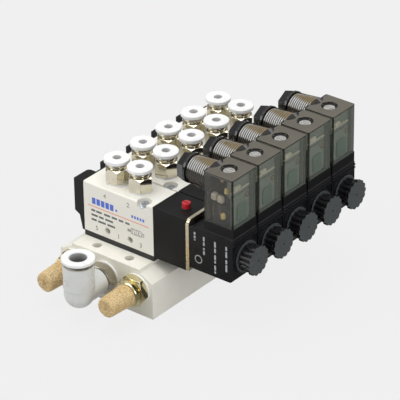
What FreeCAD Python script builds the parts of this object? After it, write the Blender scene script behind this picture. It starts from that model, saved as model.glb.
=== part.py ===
import FreeCAD, Part
import math
import os

# Valve island: five sprung solenoid valves side by side on one drilled manifold bar.
# X runs along each valve, from its end cap (-X) to its coil nut (+X).
# Y runs along the row of valves, from the supply elbow (-Y) to the closed end (+Y).
# The origin is on the underside of the manifold, at the middle of its four mounting holes.

# Row of valves
station_count = 5
station_pitch = 23.0
station_width = 22.0

# Clearances
slide_gap = 0.05
thread_gap = 0.05
screw_gap = 0.1
stop_gap = 0.1

# Manifold bar
manifold_height = 29.3
deck_width = 49.4
foot_width = 67.4
deck_step = 2.0
shoulder_drop = 4.4
end_margin = 12.0
channel_radius = 5.5
channel_spacing = 22.4
channel_height = 16.7
end_thread_radius = 6.58
end_thread_depth = 10.0
mount_hole_radius = 2.75
mount_hole_spacing = 23.6
mount_hole_inset = 6.7

# Gasket between a valve and the manifold
gasket_thickness = 2.9
port_radius = 3.2
port_spacing = 16.0

# Valve body
body_length = 50.6
body_height = 32.0
body_edge_radius = 0.8
bore_radius = 5.5
outlet_a_x = -9.2
outlet_b_x = 7.6
outlet_thread_radius = 4.86
outlet_thread_depth = 7.5
outlet_passage_radius = 2.4
side_hole_radius = 2.0
side_hole_height = 5.0
side_hole_spacing = 16.4

# Screws that hold a valve down
hold_screw_from_end = 7.9
hold_screw_inset = 2.6
hold_screw_radius = 1.5
hold_screw_grip = 5.5
hold_head_radius = 2.6
hold_head_height = 1.9
hold_washer_radius = 2.95
hold_washer_height = 0.5
recess_radius = 4.2
recess_depth = 3.4

# Screws at the two ends of a valve body
end_screw_radius = 1.5
end_screw_y = 6.5
end_screw_low = 5.5
end_screw_grip = 5.4
end_head_radius = 2.75
end_head_height = 2.0
end_head_gap = 0.3
countersink_radius = 2.9
countersink_depth = 1.4

# End cap
cap_flange = 1.6
cap_reach = 7.0
cap_boss_width = 13.0
cap_boss_foot = 8.8
cap_boss_neck = 3.5
cap_boss_slope = 2.1
cap_top_drop = 0.4
cap_corner_radius = 2.5

# Pilot head
head_length = 23.2
head_rise = 0.3
head_drop = 0.2
piston_radius = 8.0
piston_length = 4.0
piston_chamber = 7.5
pilot_passage_radius = 0.8
override_offset = 15.2
override_radius = 2.5
override_rise = 3.2
override_passage = 2.8
override_slot_width = 0.8
override_slot_depth = 1.0
override_travel = 1.5
override_spring_length = 4.5
override_spring_wire = 0.45
override_spring_turns = 3
override_ring_radius = 3.3
override_ring_height = 0.7
override_ring_sink = 0.5

# Spool and its spring
spool_left_room = 8.3
spool_neck_radius = 3.3
spool_travel = 2.5
land_width = 3.6
spool_spring_wire = 0.9
spool_spring_turns = 4

# Yoke plate and coil
plate_thickness = 2.2
plate_low = 0.2
plate_rise = 0.4
plate_corner_radius = 3.0
coil_length = 30.5
coil_below_axis = 13.1
coil_above_axis = 13.8
coil_corner_radius = 2.5
coil_rib_width = 0.8
coil_rib_height = 0.6
coil_rib_drop = 1.2
coil_rib_pitch = 1.9
coil_rib_count = 2
coil_ring_radius = 10.4

# Core tube and armature
tube_radius = 4.45
tube_wall = 0.75
tube_flange_radius = 6.5
tube_flange_length = 2.0
tube_thread_reach = 5.5
armature_length = 18.0
armature_travel = 0.8
armature_pocket_radius = 2.0
armature_pocket_depth = 5.0
armature_spring_wire = 0.45
armature_spring_turns = 4

# Coil nut
nut_lobes = 14
nut_face_radius = 8.9
nut_face_flute = 1.0
nut_grip_radius = 8.0
nut_grip_flute = 1.0
nut_flange_radius = 9.5
nut_flange_length = 1.4
nut_grip_length = 6.0
nut_face_length = 2.2
nut_dimple_radius = 0.5
nut_dimple_depth = 0.8

# Cable plug on the coil
plug_length = 20.2
plug_width = 21.0
plug_gasket_height = 0.8
plug_base_height = 5.9
plug_cover_height = 30.5
plug_wall = 1.4
plug_roof = 2.0
plug_edge_radius = 1.0
plug_screw_inset = 10.4
plug_recess_radius = 4.8
plug_recess_depth = 3.4
plug_screw_radius = 1.5
plug_screw_grip = 5.0
plug_head_radius = 3.3
plug_head_height = 2.2
block_length = 13.0
block_width = 14.0
block_height = 17.0
board_thickness = 1.0
board_width = 15.0
board_height = 17.5
board_inset = 1.4

# Cable gland
gland_axis_drop = 7.9
gland_radius = 9.6
gland_end_radius = 8.2
gland_reach = 14.9
gland_spigot_radius = 6.0
gland_spigot_length = 5.0
gland_bore_radius = 4.4
gland_nose_length = 3.8
gland_nose_radius = 7.0
gland_nut_tip_flats = 13.5
gland_nut_root_flats = 16.0
gland_nut_length = 6.4
gland_nut_wall = 1.4
gland_flange_radius = 8.7
gland_flange_length = 1.4
gland_hex_turn = 0.0
gland_cable_radius = 3.6
gland_seal_hole_radius = 3.2
gland_seal_length = 4.5

# Straight push-in fitting
washer_height = 1.0
fitting_washer_radius = 6.6
fitting_across_flats = 13.0
fitting_hex_height = 8.8
fitting_hex_turn = 9.0
fitting_groove_radius = 5.0
fitting_groove_height = 0.5
fitting_ring_radius = 5.6
fitting_ring_height = 2.0
fitting_ring_round = 0.8
fitting_stud_length = 6.2
fitting_sleeve_radius = 4.2
fitting_sleeve_depth = 7.8
fitting_tube_radius = 2.55
collar_radius = 7.5
collar_height = 2.0
collar_bevel = 0.35
collar_travel = 1.2

# Supply elbow
end_washer_radius = 9.25
end_hex_across_flats = 17.0
end_hex_length = 6.0
end_hex_turn = 30.0
elbow_stud_length = 9.0
elbow_bore_radius = 3.5
elbow_pivot_radius = 5.2
elbow_pivot_length = 12.5
elbow_gap = 0.25
elbow_branch_radius = 7.85
elbow_arm_reach = 23.3
elbow_heel_radius = 8.7
elbow_seam_height = 4.3
elbow_arm_radius = 9.0
elbow_arm_above = 18.9
elbow_ring_radius = 8.3
elbow_ring_height = 1.1
elbow_sleeve_radius = 7.0
elbow_sleeve_depth = 9.6
elbow_tube_radius = 5.05
elbow_tube_depth = 4.0
elbow_passage_radius = 4.0
elbow_collar_radius = 9.6
elbow_collar_height = 1.8
elbow_lead = 0.4

# Silencers
silencer_stud_length = 8.0
silencer_across_flats = 17.5
silencer_hex_length = 4.8
silencer_hex_turn = 23.0
silencer_collar_radius = 8.0
silencer_collar_length = 4.2
silencer_collar_round = 1.3
silencer_bore_radius = 5.0
silencer_seat_depth = 5.0
silencer_passage_radius = 3.5
silencer_root_radius = 6.7
silencer_tip_radius = 5.9
silencer_reach = 27.5
silencer_tip_bevel = 1.2

# Plugs that close the channels
channel_plug_length = 7.5
channel_plug_sink = 0.5
channel_plug_socket = 6.0
channel_plug_socket_depth = 4.0

# Springs
spring_segments = 8

# Screw slots, as shares of the head's radius and height
slot_reach = 0.7
slot_width = 0.24
slot_depth = 0.55

# Turned-down corners of the hexagons, as the share left of the flats and the slope
hex_face_share = 0.97
hex_slope = 0.8

# Derived places
x_dir = FreeCAD.Vector(1, 0, 0)
y_dir = FreeCAD.Vector(0, 1, 0)
z_dir = FreeCAD.Vector(0, 0, 1)
row_length = (station_count - 1) * station_pitch + station_width
manifold_length = row_length + 2 * end_margin
front_y = -manifold_length / 2
back_y = manifold_length / 2
half_width = station_width / 2
body_floor = manifold_height + gasket_thickness
body_top = body_floor + body_height
bore_height = body_height / 2
axis_z = body_floor + bore_height
end_screw_high = body_height - end_screw_low
left_x = -body_length / 2
right_x = body_length / 2
head_end = right_x + head_length
head_top = body_top + head_rise
plate_end = head_end + plate_thickness
coil_end = plate_end + coil_length
coil_top = axis_z + coil_above_axis
plate_high = body_height + plate_rise
plug_start = coil_end - plug_length
plug_base_floor = coil_top + plug_gasket_height
plug_base_top = plug_base_floor + plug_base_height
plug_top = plug_base_top + plug_cover_height
plug_screw_x = coil_end - plug_screw_inset
gland_z = plug_top - gland_axis_drop
gland_start = plug_start - gland_reach
hold_screw_x = right_x - hold_screw_from_end
hold_screw_y = half_width - hold_screw_inset
recess_floor = body_top - recess_depth
tube_start = head_end - tube_flange_length
tube_bore = tube_radius - tube_wall
armature_start = tube_start + stop_gap
core_face = armature_start + armature_length + armature_travel + stop_gap
tube_end = coil_end + tube_thread_reach
piston_face = right_x + piston_chamber
piston_back = piston_face - piston_length
spool_start = left_x + spool_left_room
override_x = right_x + override_offset
override_floor = axis_z + override_passage
override_stem = head_top - override_floor - override_spring_length
fitting_base = body_top + washer_height
neck_floor = fitting_base + fitting_hex_height
neck_top = neck_floor + fitting_groove_height + fitting_ring_height
collar_floor = neck_top + collar_travel + stop_gap
sleeve_floor = neck_top - fitting_sleeve_depth
end_hex_y = front_y - washer_height
end_hex_front = end_hex_y - end_hex_length
elbow_arm_y = front_y - elbow_arm_reach
elbow_seam_z = channel_height + elbow_seam_height
elbow_arm_top = channel_height + elbow_arm_above
elbow_ring_top = elbow_arm_top + elbow_ring_height
elbow_collar_floor = elbow_ring_top + collar_travel + stop_gap
elbow_sleeve_floor = elbow_arm_top - elbow_sleeve_depth
silencer_collar_y = end_hex_y - silencer_hex_length
silencer_front = silencer_collar_y - silencer_collar_length


def station_y(index):
    """Middle of one valve along the row."""
    return (index - (station_count - 1) / 2) * station_pitch


def box(x0, x1, y0, y1, z0, z1):
    """Block between two corners."""
    return Part.makeBox(x1 - x0, y1 - y0, z1 - z0, FreeCAD.Vector(x0, y0, z0))


def rod(radius, start, length, direction):
    """Round bar from a start point along a direction."""
    return Part.makeCylinder(radius, length, FreeCAD.Vector(*start), direction)


def taper(radius_a, radius_b, start, length, direction):
    """Round bar that changes radius along its length."""
    return Part.makeCone(radius_a, radius_b, length, FreeCAD.Vector(*start), direction)


def fused(shapes):
    """One solid made of touching solids."""
    return shapes[0].multiFuse(shapes[1:]).removeSplitter()


def cut(shape, tools):
    """A solid with several tools taken out of it."""
    return shape.cut(tools)


def hex_outline(across_flats, start, direction, turn):
    """Hexagon across a direction, its first corner turned from the direction's own side."""
    side = z_dir
    if abs(direction.dot(z_dir)) > 0.5:
        side = x_dir
    other = direction.cross(side)
    corner_radius = across_flats / math.sqrt(3)
    centre = FreeCAD.Vector(*start)
    corners = []
    for index in range(7):
        angle = math.radians(turn + 60 * index)
        corners.append(centre + (side * math.cos(angle) + other * math.sin(angle)) * corner_radius)
    return Part.makePolygon(corners)


def hex_bar(across_flats, start, length, direction, turn):
    """Hexagonal bar from a start point along a direction."""
    return Part.Face(hex_outline(across_flats, start, direction, turn)).extrude(direction * length)


def turned_hex(across_flats, start, length, direction, turn):
    """Hexagonal bar whose corners are turned down at both ends."""
    bar = hex_bar(across_flats, start, length, direction, turn)
    corner = across_flats / math.sqrt(3)
    face = across_flats / 2 * hex_face_share
    rise = (corner - face) * hex_slope
    near = FreeCAD.Vector(*start)
    middle = near + direction * rise
    far = near + direction * (length - rise)
    limit = fused([
        taper(face, corner, near, rise, direction),
        rod(corner, middle, length - 2 * rise, direction),
        taper(corner, face, far, rise, direction),
    ])
    return bar.common(limit)


def rounded_rod(radius, start, length, direction, rounding):
    """Round bar with both rims rounded over."""
    bar = rod(radius, start, length, direction)
    return bar.makeFillet(rounding, [edge for edge in bar.Edges if edge.Closed])


def moved(shape, x=0.0, y=0.0, z=0.0):
    """Copy of a shape at another place."""
    copy = shape.copy()
    copy.translate(FreeCAD.Vector(x, y, z))
    return copy


def at_stations(shape):
    """Copies of a shape modelled at the middle of the row, one for each valve."""
    return [moved(shape, y=station_y(index)) for index in range(station_count)]


def coil_spring(radius, wire, length, turns):
    """Spring of square wire that stands on the origin and rises along Z."""
    steps = turns * spring_segments
    climb = (length - wire) / steps
    sections = []
    for step in range(steps + 1):
        angle = 2 * math.pi * step / spring_segments
        out = FreeCAD.Vector(math.cos(angle), math.sin(angle), 0)
        low = z_dir * (climb * step)
        inner = out * (radius - wire)
        outer = out * radius
        high = low + z_dir * wire
        sections.append([inner + low, outer + low, outer + high, inner + high])
    faces = [Part.Face(Part.makePolygon(sections[0] + sections[0][:1]))]
    faces.append(Part.Face(Part.makePolygon(sections[-1] + sections[-1][:1])))
    for near, far in zip(sections, sections[1:]):
        for side in range(4):
            after = (side + 1) % 4
            edge_a = Part.makeLine(near[side], near[after])
            edge_b = Part.makeLine(far[side], far[after])
            faces.append(Part.makeRuledSurface(edge_a, edge_b))
    shell = Part.makeShell(faces)
    shell.sewShape()
    solid = Part.makeSolid(shell)
    if solid.Volume < 0:
        solid.reverse()
    return solid


def along_x(shape, x, y, z):
    """Turns a shape that rises along Z so that it runs along X from a point."""
    turned = shape.copy()
    turned.rotate(FreeCAD.Vector(0, 0, 0), y_dir, 90)
    turned.translate(FreeCAD.Vector(x, y, z))
    return turned


def hold_screw_places():
    """The two diagonal screws of a valve, as X and Y from its middle."""
    return [(hold_screw_x, -hold_screw_y), (-hold_screw_x, hold_screw_y)]


def cap_screw_places():
    """The two end cap screws of a valve, as Y and Z."""
    return [(-end_screw_y, body_floor + end_screw_high), (end_screw_y, body_floor + end_screw_low)]


def head_screw_places():
    """The two pilot head screws of a valve, as Y and Z."""
    return [(-end_screw_y, body_floor + end_screw_low), (end_screw_y, body_floor + end_screw_high)]


def manifold():
    """Bar with a raised deck, sloping shoulders, three long channels and the valves' ports."""
    deck = deck_width / 2
    foot = foot_width / 2
    step_z = manifold_height - deck_step
    shoulder_z = step_z - shoulder_drop
    outline = [
        (-foot, 0), (foot, 0), (foot, shoulder_z), (deck, step_z), (deck, manifold_height),
        (-deck, manifold_height), (-deck, step_z), (-foot, shoulder_z), (-foot, 0),
    ]
    corners = [FreeCAD.Vector(x, front_y, z) for x, z in outline]
    bar = Part.Face(Part.makePolygon(corners)).extrude(y_dir * manifold_length)
    tools = []
    for column in (-1, 0, 1):
        x = column * channel_spacing
        tools.append(rod(channel_radius, (x, front_y, channel_height), manifold_length, y_dir))
        tools.append(rod(end_thread_radius, (x, front_y, channel_height), end_thread_depth, y_dir))
        tools.append(rod(end_thread_radius, (x, back_y, channel_height), end_thread_depth, -y_dir))
    for x_side in (-0.5, 0.5):
        for y_side in (-1, 1):
            x = x_side * mount_hole_spacing
            y = y_side * (back_y - mount_hole_inset)
            tools.append(rod(mount_hole_radius, (x, y, 0), manifold_height, z_dir))
    drop = manifold_height - channel_height
    hole_depth = hold_screw_grip + screw_gap
    for index in range(station_count):
        y = station_y(index)
        for column in (-1, 0, 1):
            x = column * port_spacing
            tools.append(rod(port_radius, (x, y, channel_height), drop, z_dir))
        for x, y_side in hold_screw_places():
            floor = manifold_height - hole_depth
            thread = hold_screw_radius + thread_gap
            tools.append(rod(thread, (x, y + y_side, floor), hole_depth, z_dir))
    return cut(bar, tools)


def station_gasket():
    """Flat rubber seal with three ports and two screw holes."""
    pad = box(left_x, right_x, -half_width, half_width, manifold_height, body_floor)
    tools = []
    for column in (-1, 0, 1):
        x = column * port_spacing
        tools.append(rod(port_radius, (x, 0, manifold_height), gasket_thickness, z_dir))
    for x, y in hold_screw_places():
        hole = hold_screw_radius + screw_gap
        tools.append(rod(hole, (x, y, manifold_height), gasket_thickness, z_dir))
    return cut(pad, tools)


def valve_body():
    """Block with the spool bore along it, two outlets on top and three ports below."""
    block = box(left_x, right_x, -half_width, half_width, body_floor, body_top)
    long_edges = [e for e in block.Edges if abs(e.tangentAt(e.FirstParameter).dot(x_dir)) > 0.9]
    block = block.makeFillet(body_edge_radius, long_edges)
    tools = [rod(bore_radius, (left_x, 0, axis_z), body_length, x_dir)]
    for x in (outlet_a_x, outlet_b_x):
        tools.append(rod(outlet_thread_radius, (x, 0, body_top), outlet_thread_depth, -z_dir))
        tools.append(rod(outlet_passage_radius, (x, 0, axis_z), body_top - axis_z, z_dir))
    for column in (-1, 0, 1):
        tools.append(rod(port_radius, (column * port_spacing, 0, body_floor), bore_height, z_dir))
    for side in (-0.5, 0.5):
        place = (side * side_hole_spacing, -half_width, body_floor + side_hole_height)
        tools.append(rod(side_hole_radius, place, station_width, y_dir))
    for x, y in hold_screw_places():
        tools.append(rod(hold_screw_radius + screw_gap, (x, y, body_floor), body_height, z_dir))
        tools.append(rod(recess_radius, (x, y, recess_floor), recess_depth, z_dir))
    thread = end_screw_radius + thread_gap
    depth = end_screw_grip + stop_gap
    for y, z in cap_screw_places():
        tools.append(rod(thread, (left_x, y, z), depth, x_dir))
    for y, z in head_screw_places():
        tools.append(rod(thread, (right_x, y, z), depth, -x_dir))
    return cut(block, tools)


def end_cap():
    """Cap over the spring end, with a deep boss at its front and a thin flange behind it."""
    top = body_top - cap_top_drop
    outline = [
        (left_x, body_floor),
        (left_x - cap_flange, body_floor),
        (left_x - cap_boss_neck, body_floor + cap_boss_foot),
        (left_x - cap_reach, body_floor + cap_boss_foot + cap_boss_slope),
        (left_x - cap_reach, top),
        (left_x, top),
        (left_x, body_floor),
    ]
    corners = [FreeCAD.Vector(x, -half_width, z) for x, z in outline]
    boss = Part.Face(Part.makePolygon(corners)).extrude(y_dir * cap_boss_width)
    back_edges = []
    for edge in boss.Edges:
        middle = edge.CenterOfMass
        upright = abs(edge.tangentAt(edge.FirstParameter).dot(z_dir)) > 0.99
        at_front = middle.x < left_x - cap_reach + slide_gap
        if upright and at_front and middle.y > -half_width + slide_gap:
            back_edges.append(edge)
    boss = boss.makeFillet(cap_corner_radius, back_edges)
    flange = box(left_x - cap_flange, left_x, -half_width, half_width, body_floor, top)
    tools = []
    for y, z in cap_screw_places():
        tools.append(rod(end_screw_radius + screw_gap, (left_x, y, z), cap_flange, -x_dir))
    boss_y, boss_z = cap_screw_places()[0]
    well_depth = cap_reach - cap_flange
    well = (left_x - cap_flange, boss_y, boss_z)
    tools.append(rod(end_head_radius + end_head_gap, well, well_depth, -x_dir))
    return cut(fused([boss, flange]), tools)


def pilot_head():
    """Block with the piston chamber, the override well and the seat of the core tube."""
    block = box(right_x, head_end, -half_width, half_width, body_floor - head_drop, head_top)
    tools = [
        rod(piston_radius, (right_x, 0, axis_z), piston_chamber, x_dir),
        rod(pilot_passage_radius, (right_x, 0, axis_z), head_length, x_dir),
        rod(tube_flange_radius + screw_gap, (tube_start, 0, axis_z), tube_flange_length, x_dir),
        rod(pilot_passage_radius, (override_x, 0, axis_z), override_passage, z_dir),
    ]
    well = (override_x, 0, override_floor)
    tools.append(rod(override_radius + slide_gap, well, head_top - override_floor, z_dir))
    groove = override_ring_radius + slide_gap
    tools.append(rod(groove, (override_x, 0, head_top - override_ring_sink), override_ring_sink, z_dir))
    for y, z in head_screw_places():
        tools.append(rod(end_screw_radius + screw_gap, (right_x, y, z), head_length, x_dir))
    return cut(block, tools)


def override_ring():
    """Rubber ring round the override pin, half sunk in the top of the head."""
    floor = head_top - override_ring_sink
    ring = rod(override_ring_radius, (override_x, 0, floor), override_ring_height, z_dir)
    hole = rod(override_radius + screw_gap, (override_x, 0, floor), override_ring_height, z_dir)
    return cut(ring, [hole])


def override_pin():
    """Red slotted pin that is pressed to open the pilot by hand."""
    floor = override_floor + override_spring_length
    length = override_stem + override_rise
    pin = rod(override_radius, (override_x, 0, floor), length, z_dir)
    top = floor + length
    slot = box(
        override_x - override_radius, override_x + override_radius,
        -override_slot_width / 2, override_slot_width / 2, top - override_slot_depth, top,
    )
    return cut(pin, [slot])


def override_spring():
    """Spring under the override pin."""
    radius = override_radius - 2 * slide_gap
    spring = coil_spring(radius, override_spring_wire, override_spring_length, override_spring_turns)
    return moved(spring, x=override_x, z=override_floor)


def spool():
    """Spool with four lands, and the pilot piston that pushes it."""
    land = bore_radius - slide_gap
    shaft = rod(spool_neck_radius, (spool_start, 0, axis_z), piston_back - spool_start, x_dir)
    pieces = [shaft]
    starts = [
        spool_start,
        (outlet_a_x - land_width) / 2,
        outlet_b_x + (port_spacing - outlet_b_x - land_width) / 2,
        right_x - spool_travel - land_width,
    ]
    for start in starts:
        pieces.append(rod(land, (start, 0, axis_z), land_width, x_dir))
    piston = rod(piston_radius - slide_gap, (piston_back, 0, axis_z), piston_length, x_dir)
    return Part.makeCompound([fused(pieces), piston])


def spool_spring():
    """Spring between the end cap and the spool."""
    radius = bore_radius - 4 * slide_gap
    spring = coil_spring(radius, spool_spring_wire, spool_left_room, spool_spring_turns)
    return along_x(spring, left_x, 0, axis_z)


def yoke_plate():
    """Plate between the pilot head and the coil, its two top corners rounded."""
    low = body_floor + plate_low
    high = body_floor + plate_high
    plate = box(head_end, plate_end, -half_width, half_width, low, high)
    corner_edges = []
    for edge in plate.Edges:
        level = abs(edge.tangentAt(edge.FirstParameter).dot(x_dir)) > 0.9
        if level and edge.CenterOfMass.z > axis_z:
            corner_edges.append(edge)
    plate = plate.makeFillet(plate_corner_radius, corner_edges)
    tools = [rod(tube_radius + screw_gap, (head_end, 0, axis_z), plate_thickness, x_dir)]
    sink = countersink_radius + screw_gap
    hole = end_screw_radius + screw_gap
    for y, z in head_screw_places():
        tools.append(taper(sink, hole, (plate_end, y, z), countersink_depth, -x_dir))
        tools.append(rod(hole, (head_end, y, z), plate_thickness, x_dir))
    return cut(plate, tools)


def coil():
    """Moulded winding block round the core tube."""
    floor = axis_z - coil_below_axis
    block = box(plate_end, coil_end, -half_width, half_width, floor, coil_top)
    corner_edges = []
    for edge in block.Edges:
        middle = edge.CenterOfMass
        across = abs(edge.tangentAt(edge.FirstParameter).dot(y_dir)) > 0.9
        if across and middle.x < plate_end + slide_gap and middle.z > axis_z:
            corner_edges.append(edge)
        if across and middle.x > coil_end - slide_gap and middle.z < axis_z:
            corner_edges.append(edge)
    block = block.makeFillet(coil_corner_radius, corner_edges)
    pieces = [block]
    rib_end = coil_end + coil_rib_height
    for index in range(coil_rib_count):
        rib_top = coil_top - coil_rib_drop - index * coil_rib_pitch
        pieces.append(box(coil_end, rib_end, -half_width, half_width, rib_top - coil_rib_width, rib_top))
    pieces.append(rod(coil_ring_radius, (coil_end, 0, axis_z), coil_rib_height, x_dir))
    well_floor = coil_top - plug_screw_grip
    tools = [
        rod(tube_radius + slide_gap, (plate_end, 0, axis_z), coil_length, x_dir),
        rod(nut_flange_radius + screw_gap, (coil_end, 0, axis_z), coil_rib_height, x_dir),
        rod(plug_screw_radius + thread_gap, (plug_screw_x, 0, well_floor), plug_screw_grip, z_dir),
    ]
    return cut(fused(pieces), tools)


def core_tube():
    """Tube that guides the armature, closed by the fixed core and threaded for the coil nut."""
    tube = rod(tube_radius, (tube_start, 0, axis_z), tube_end - tube_start, x_dir)
    flange = rod(tube_flange_radius, (tube_start, 0, axis_z), tube_flange_length, x_dir)
    bore = rod(tube_bore, (tube_start, 0, axis_z), core_face - tube_start, x_dir)
    return cut(fused([tube, flange]), [bore])


def armature():
    """Sliding iron plunger with a pocket for its spring."""
    body = rod(tube_bore - slide_gap, (armature_start, 0, axis_z), armature_length, x_dir)
    end = armature_start + armature_length
    pocket = rod(armature_pocket_radius, (end, 0, axis_z), armature_pocket_depth, -x_dir)
    return cut(body, [pocket])


def armature_spring():
    """Spring between the armature and the fixed core."""
    start = armature_start + armature_length - armature_pocket_depth
    radius = armature_pocket_radius - 2 * slide_gap
    length = core_face - start
    spring = coil_spring(radius, armature_spring_wire, length, armature_spring_turns)
    return along_x(spring, start, 0, axis_z)


def fluted_disc(radius, depth, start_x, length):
    """Disc along X whose rim has round flutes."""
    corners = []
    centre = FreeCAD.Vector(start_x, 0, axis_z)
    half = math.pi / nut_lobes
    edges = []
    for lobe in range(nut_lobes):
        middle = 2 * half * lobe
        places = []
        for offset, reach in ((-1, radius - depth), (0, radius), (1, radius - depth)):
            angle = middle + offset * half
            places.append(centre + FreeCAD.Vector(0, math.cos(angle), math.sin(angle)) * reach)
        edges.append(Part.Arc(places[0], places[1], places[2]).toShape())
    outline = Part.Wire(edges)
    return Part.Face(outline).extrude(x_dir * length)


def coil_nut():
    """Fluted hand nut that holds the coil on its tube."""
    flange = rod(nut_flange_radius, (coil_end, 0, axis_z), nut_flange_length, x_dir)
    grip_x = coil_end + nut_flange_length
    face_x = grip_x + nut_grip_length
    end_x = face_x + nut_face_length
    grip = fluted_disc(nut_grip_radius, nut_grip_flute, grip_x, nut_grip_length)
    face = fluted_disc(nut_face_radius, nut_face_flute, face_x, nut_face_length)
    tools = [
        rod(tube_radius + thread_gap, (coil_end, 0, axis_z), tube_thread_reach + stop_gap, x_dir),
        rod(nut_dimple_radius, (end_x, 0, axis_z), nut_dimple_depth, -x_dir),
    ]
    return cut(fused([flange, grip, face]), tools)


def plug_frame(floor, top, inset):
    """Rectangular frame with the outline of the cable plug."""
    half = plug_width / 2
    outer = box(plug_start, coil_end, -half, half, floor, top)
    inner = box(plug_start + inset, coil_end - inset, -half + inset, half - inset, floor, top)
    return cut(outer, [inner])


def terminal_block():
    """Dark insulating block that carries the contacts inside the plug."""
    half = block_width / 2
    start = plug_screw_x - block_length / 2
    block = box(start, start + block_length, -half, half, coil_top, coil_top + block_height)
    hole = rod(plug_screw_radius + screw_gap, (plug_screw_x, 0, coil_top), block_height, z_dir)
    return cut(block, [hole])


def plug_cover():
    """Smoked shell with a sunk screw seat and the threaded neck of the cable gland."""
    half = plug_width / 2
    shell = box(plug_start, coil_end, -half, half, plug_base_top, plug_top)
    upright = [e for e in shell.Edges if abs(e.tangentAt(e.FirstParameter).dot(z_dir)) > 0.9]
    shell = shell.makeFillet(plug_edge_radius, upright)
    inside = box(
        plug_start + plug_wall, coil_end - plug_wall, -half + plug_wall, half - plug_wall,
        plug_base_top, plug_top - plug_roof,
    )
    neck_length = plug_start + plug_wall - gland_start
    neck = taper(gland_end_radius, gland_radius, (gland_start, 0, gland_z), neck_length, x_dir)
    nose = taper(
        gland_radius, gland_nose_radius, (plug_start + plug_wall, 0, gland_z),
        gland_nose_length, x_dir,
    )
    mouth = (gland_start - gland_spigot_length, 0, gland_z)
    spigot = rod(gland_spigot_radius, mouth, gland_spigot_length, x_dir)
    seat_depth = plug_recess_depth + plug_roof
    seat_floor = plug_top - seat_depth
    seat = rod(plug_recess_radius + plug_wall, (plug_screw_x, 0, seat_floor), seat_depth, z_dir)
    outside = fused([shell, neck, nose, spigot])
    hollow = cut(outside, [inside.cut(seat)])
    mouth_length = gland_spigot_length + neck_length + plug_wall
    tools = [
        rod(gland_bore_radius, mouth, mouth_length, x_dir),
        rod(plug_recess_radius, (plug_screw_x, 0, plug_top), plug_recess_depth, -z_dir),
        rod(plug_screw_radius + screw_gap, (plug_screw_x, 0, seat_floor), plug_roof, z_dir),
    ]
    return cut(hollow, tools)


def indicator_board():
    """Small circuit board that stands beside the terminal block."""
    x = coil_end - plug_wall - board_inset
    half = board_width / 2
    return box(x - board_thickness, x, -half, half, plug_base_top, plug_base_top + board_height)


def slotted_head(x, y, z, radius, height, cross):
    """Round screw head standing on a seat, with one or two slots in its top."""
    head = rod(radius, (x, y, z), height, z_dir)
    reach = radius * slot_reach
    side = radius * slot_width / 2
    top = z + height
    floor = top - height * slot_depth
    slots = [box(x - reach, x + reach, y - side, y + side, floor, top)]
    if cross:
        slots.append(box(x - side, x + side, y - reach, y + reach, floor, top))
    return cut(head, slots)


def plug_screw():
    """Long screw through the plug into the coil."""
    seat = plug_top - plug_recess_depth
    floor = coil_top - plug_screw_grip + stop_gap
    head = slotted_head(plug_screw_x, 0, seat, plug_head_radius, plug_head_height, False)
    shank = rod(plug_screw_radius, (plug_screw_x, 0, floor), seat - floor, z_dir)
    return fused([head, shank])


def hold_screw(x, y):
    """Cross-head screw with its washer, from the body's recess into the manifold."""
    floor = manifold_height - hold_screw_grip
    washer = rod(hold_washer_radius, (x, y, recess_floor), hold_washer_height, z_dir)
    seat = recess_floor + hold_washer_height
    head = slotted_head(x, y, seat, hold_head_radius, hold_head_height, True)
    shank = rod(hold_screw_radius, (x, y, floor), recess_floor - floor, z_dir)
    return fused([head, washer, shank])


def cap_screw(y, z):
    """Cross-head screw that holds the end cap, its head towards -X."""
    head = slotted_head(0, 0, 0, end_head_radius, end_head_height, True)
    shank_length = cap_flange + end_screw_grip
    shank = rod(end_screw_radius, (0, 0, 0), shank_length, -z_dir)
    screw = fused([head, shank])
    screw.rotate(FreeCAD.Vector(0, 0, 0), y_dir, -90)
    return moved(screw, x=left_x - cap_flange, y=y, z=z)


def head_screw(y, z):
    """Countersunk screw through the yoke plate and the pilot head."""
    cone = taper(countersink_radius, end_screw_radius, (plate_end, y, z), countersink_depth, -x_dir)
    shank_start = right_x - end_screw_grip
    shank_length = plate_end - countersink_depth - shank_start
    shank = rod(end_screw_radius, (shank_start, y, z), shank_length, x_dir)
    return fused([cone, shank])


def gland_nut():
    """Tapered hexagonal nut with a round flange, which squeezes the seal round the cable."""
    start = gland_start - gland_nut_length
    flange_x = gland_start - gland_flange_length
    tip = hex_outline(gland_nut_tip_flats, (start, 0, gland_z), x_dir, gland_hex_turn)
    root = hex_outline(gland_nut_root_flats, (flange_x, 0, gland_z), x_dir, gland_hex_turn)
    hexagon = Part.makeLoft([tip, root], True, True)
    flange = rod(gland_flange_radius, (flange_x, 0, gland_z), gland_flange_length, x_dir)
    cavity_x = start + gland_nut_wall
    tools = [
        rod(gland_cable_radius, (start, 0, gland_z), gland_nut_wall, x_dir),
        rod(gland_spigot_radius + thread_gap, (cavity_x, 0, gland_z), gland_start - cavity_x, x_dir),
    ]
    return cut(fused([hexagon, flange]), tools)


def gland_seal():
    """Rubber ring inside the gland."""
    start = gland_start - gland_spigot_length
    ring = rod(gland_bore_radius, (start, 0, gland_z), gland_seal_length, x_dir)
    return cut(ring, [rod(gland_seal_hole_radius, (start, 0, gland_z), gland_seal_length, x_dir)])


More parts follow.
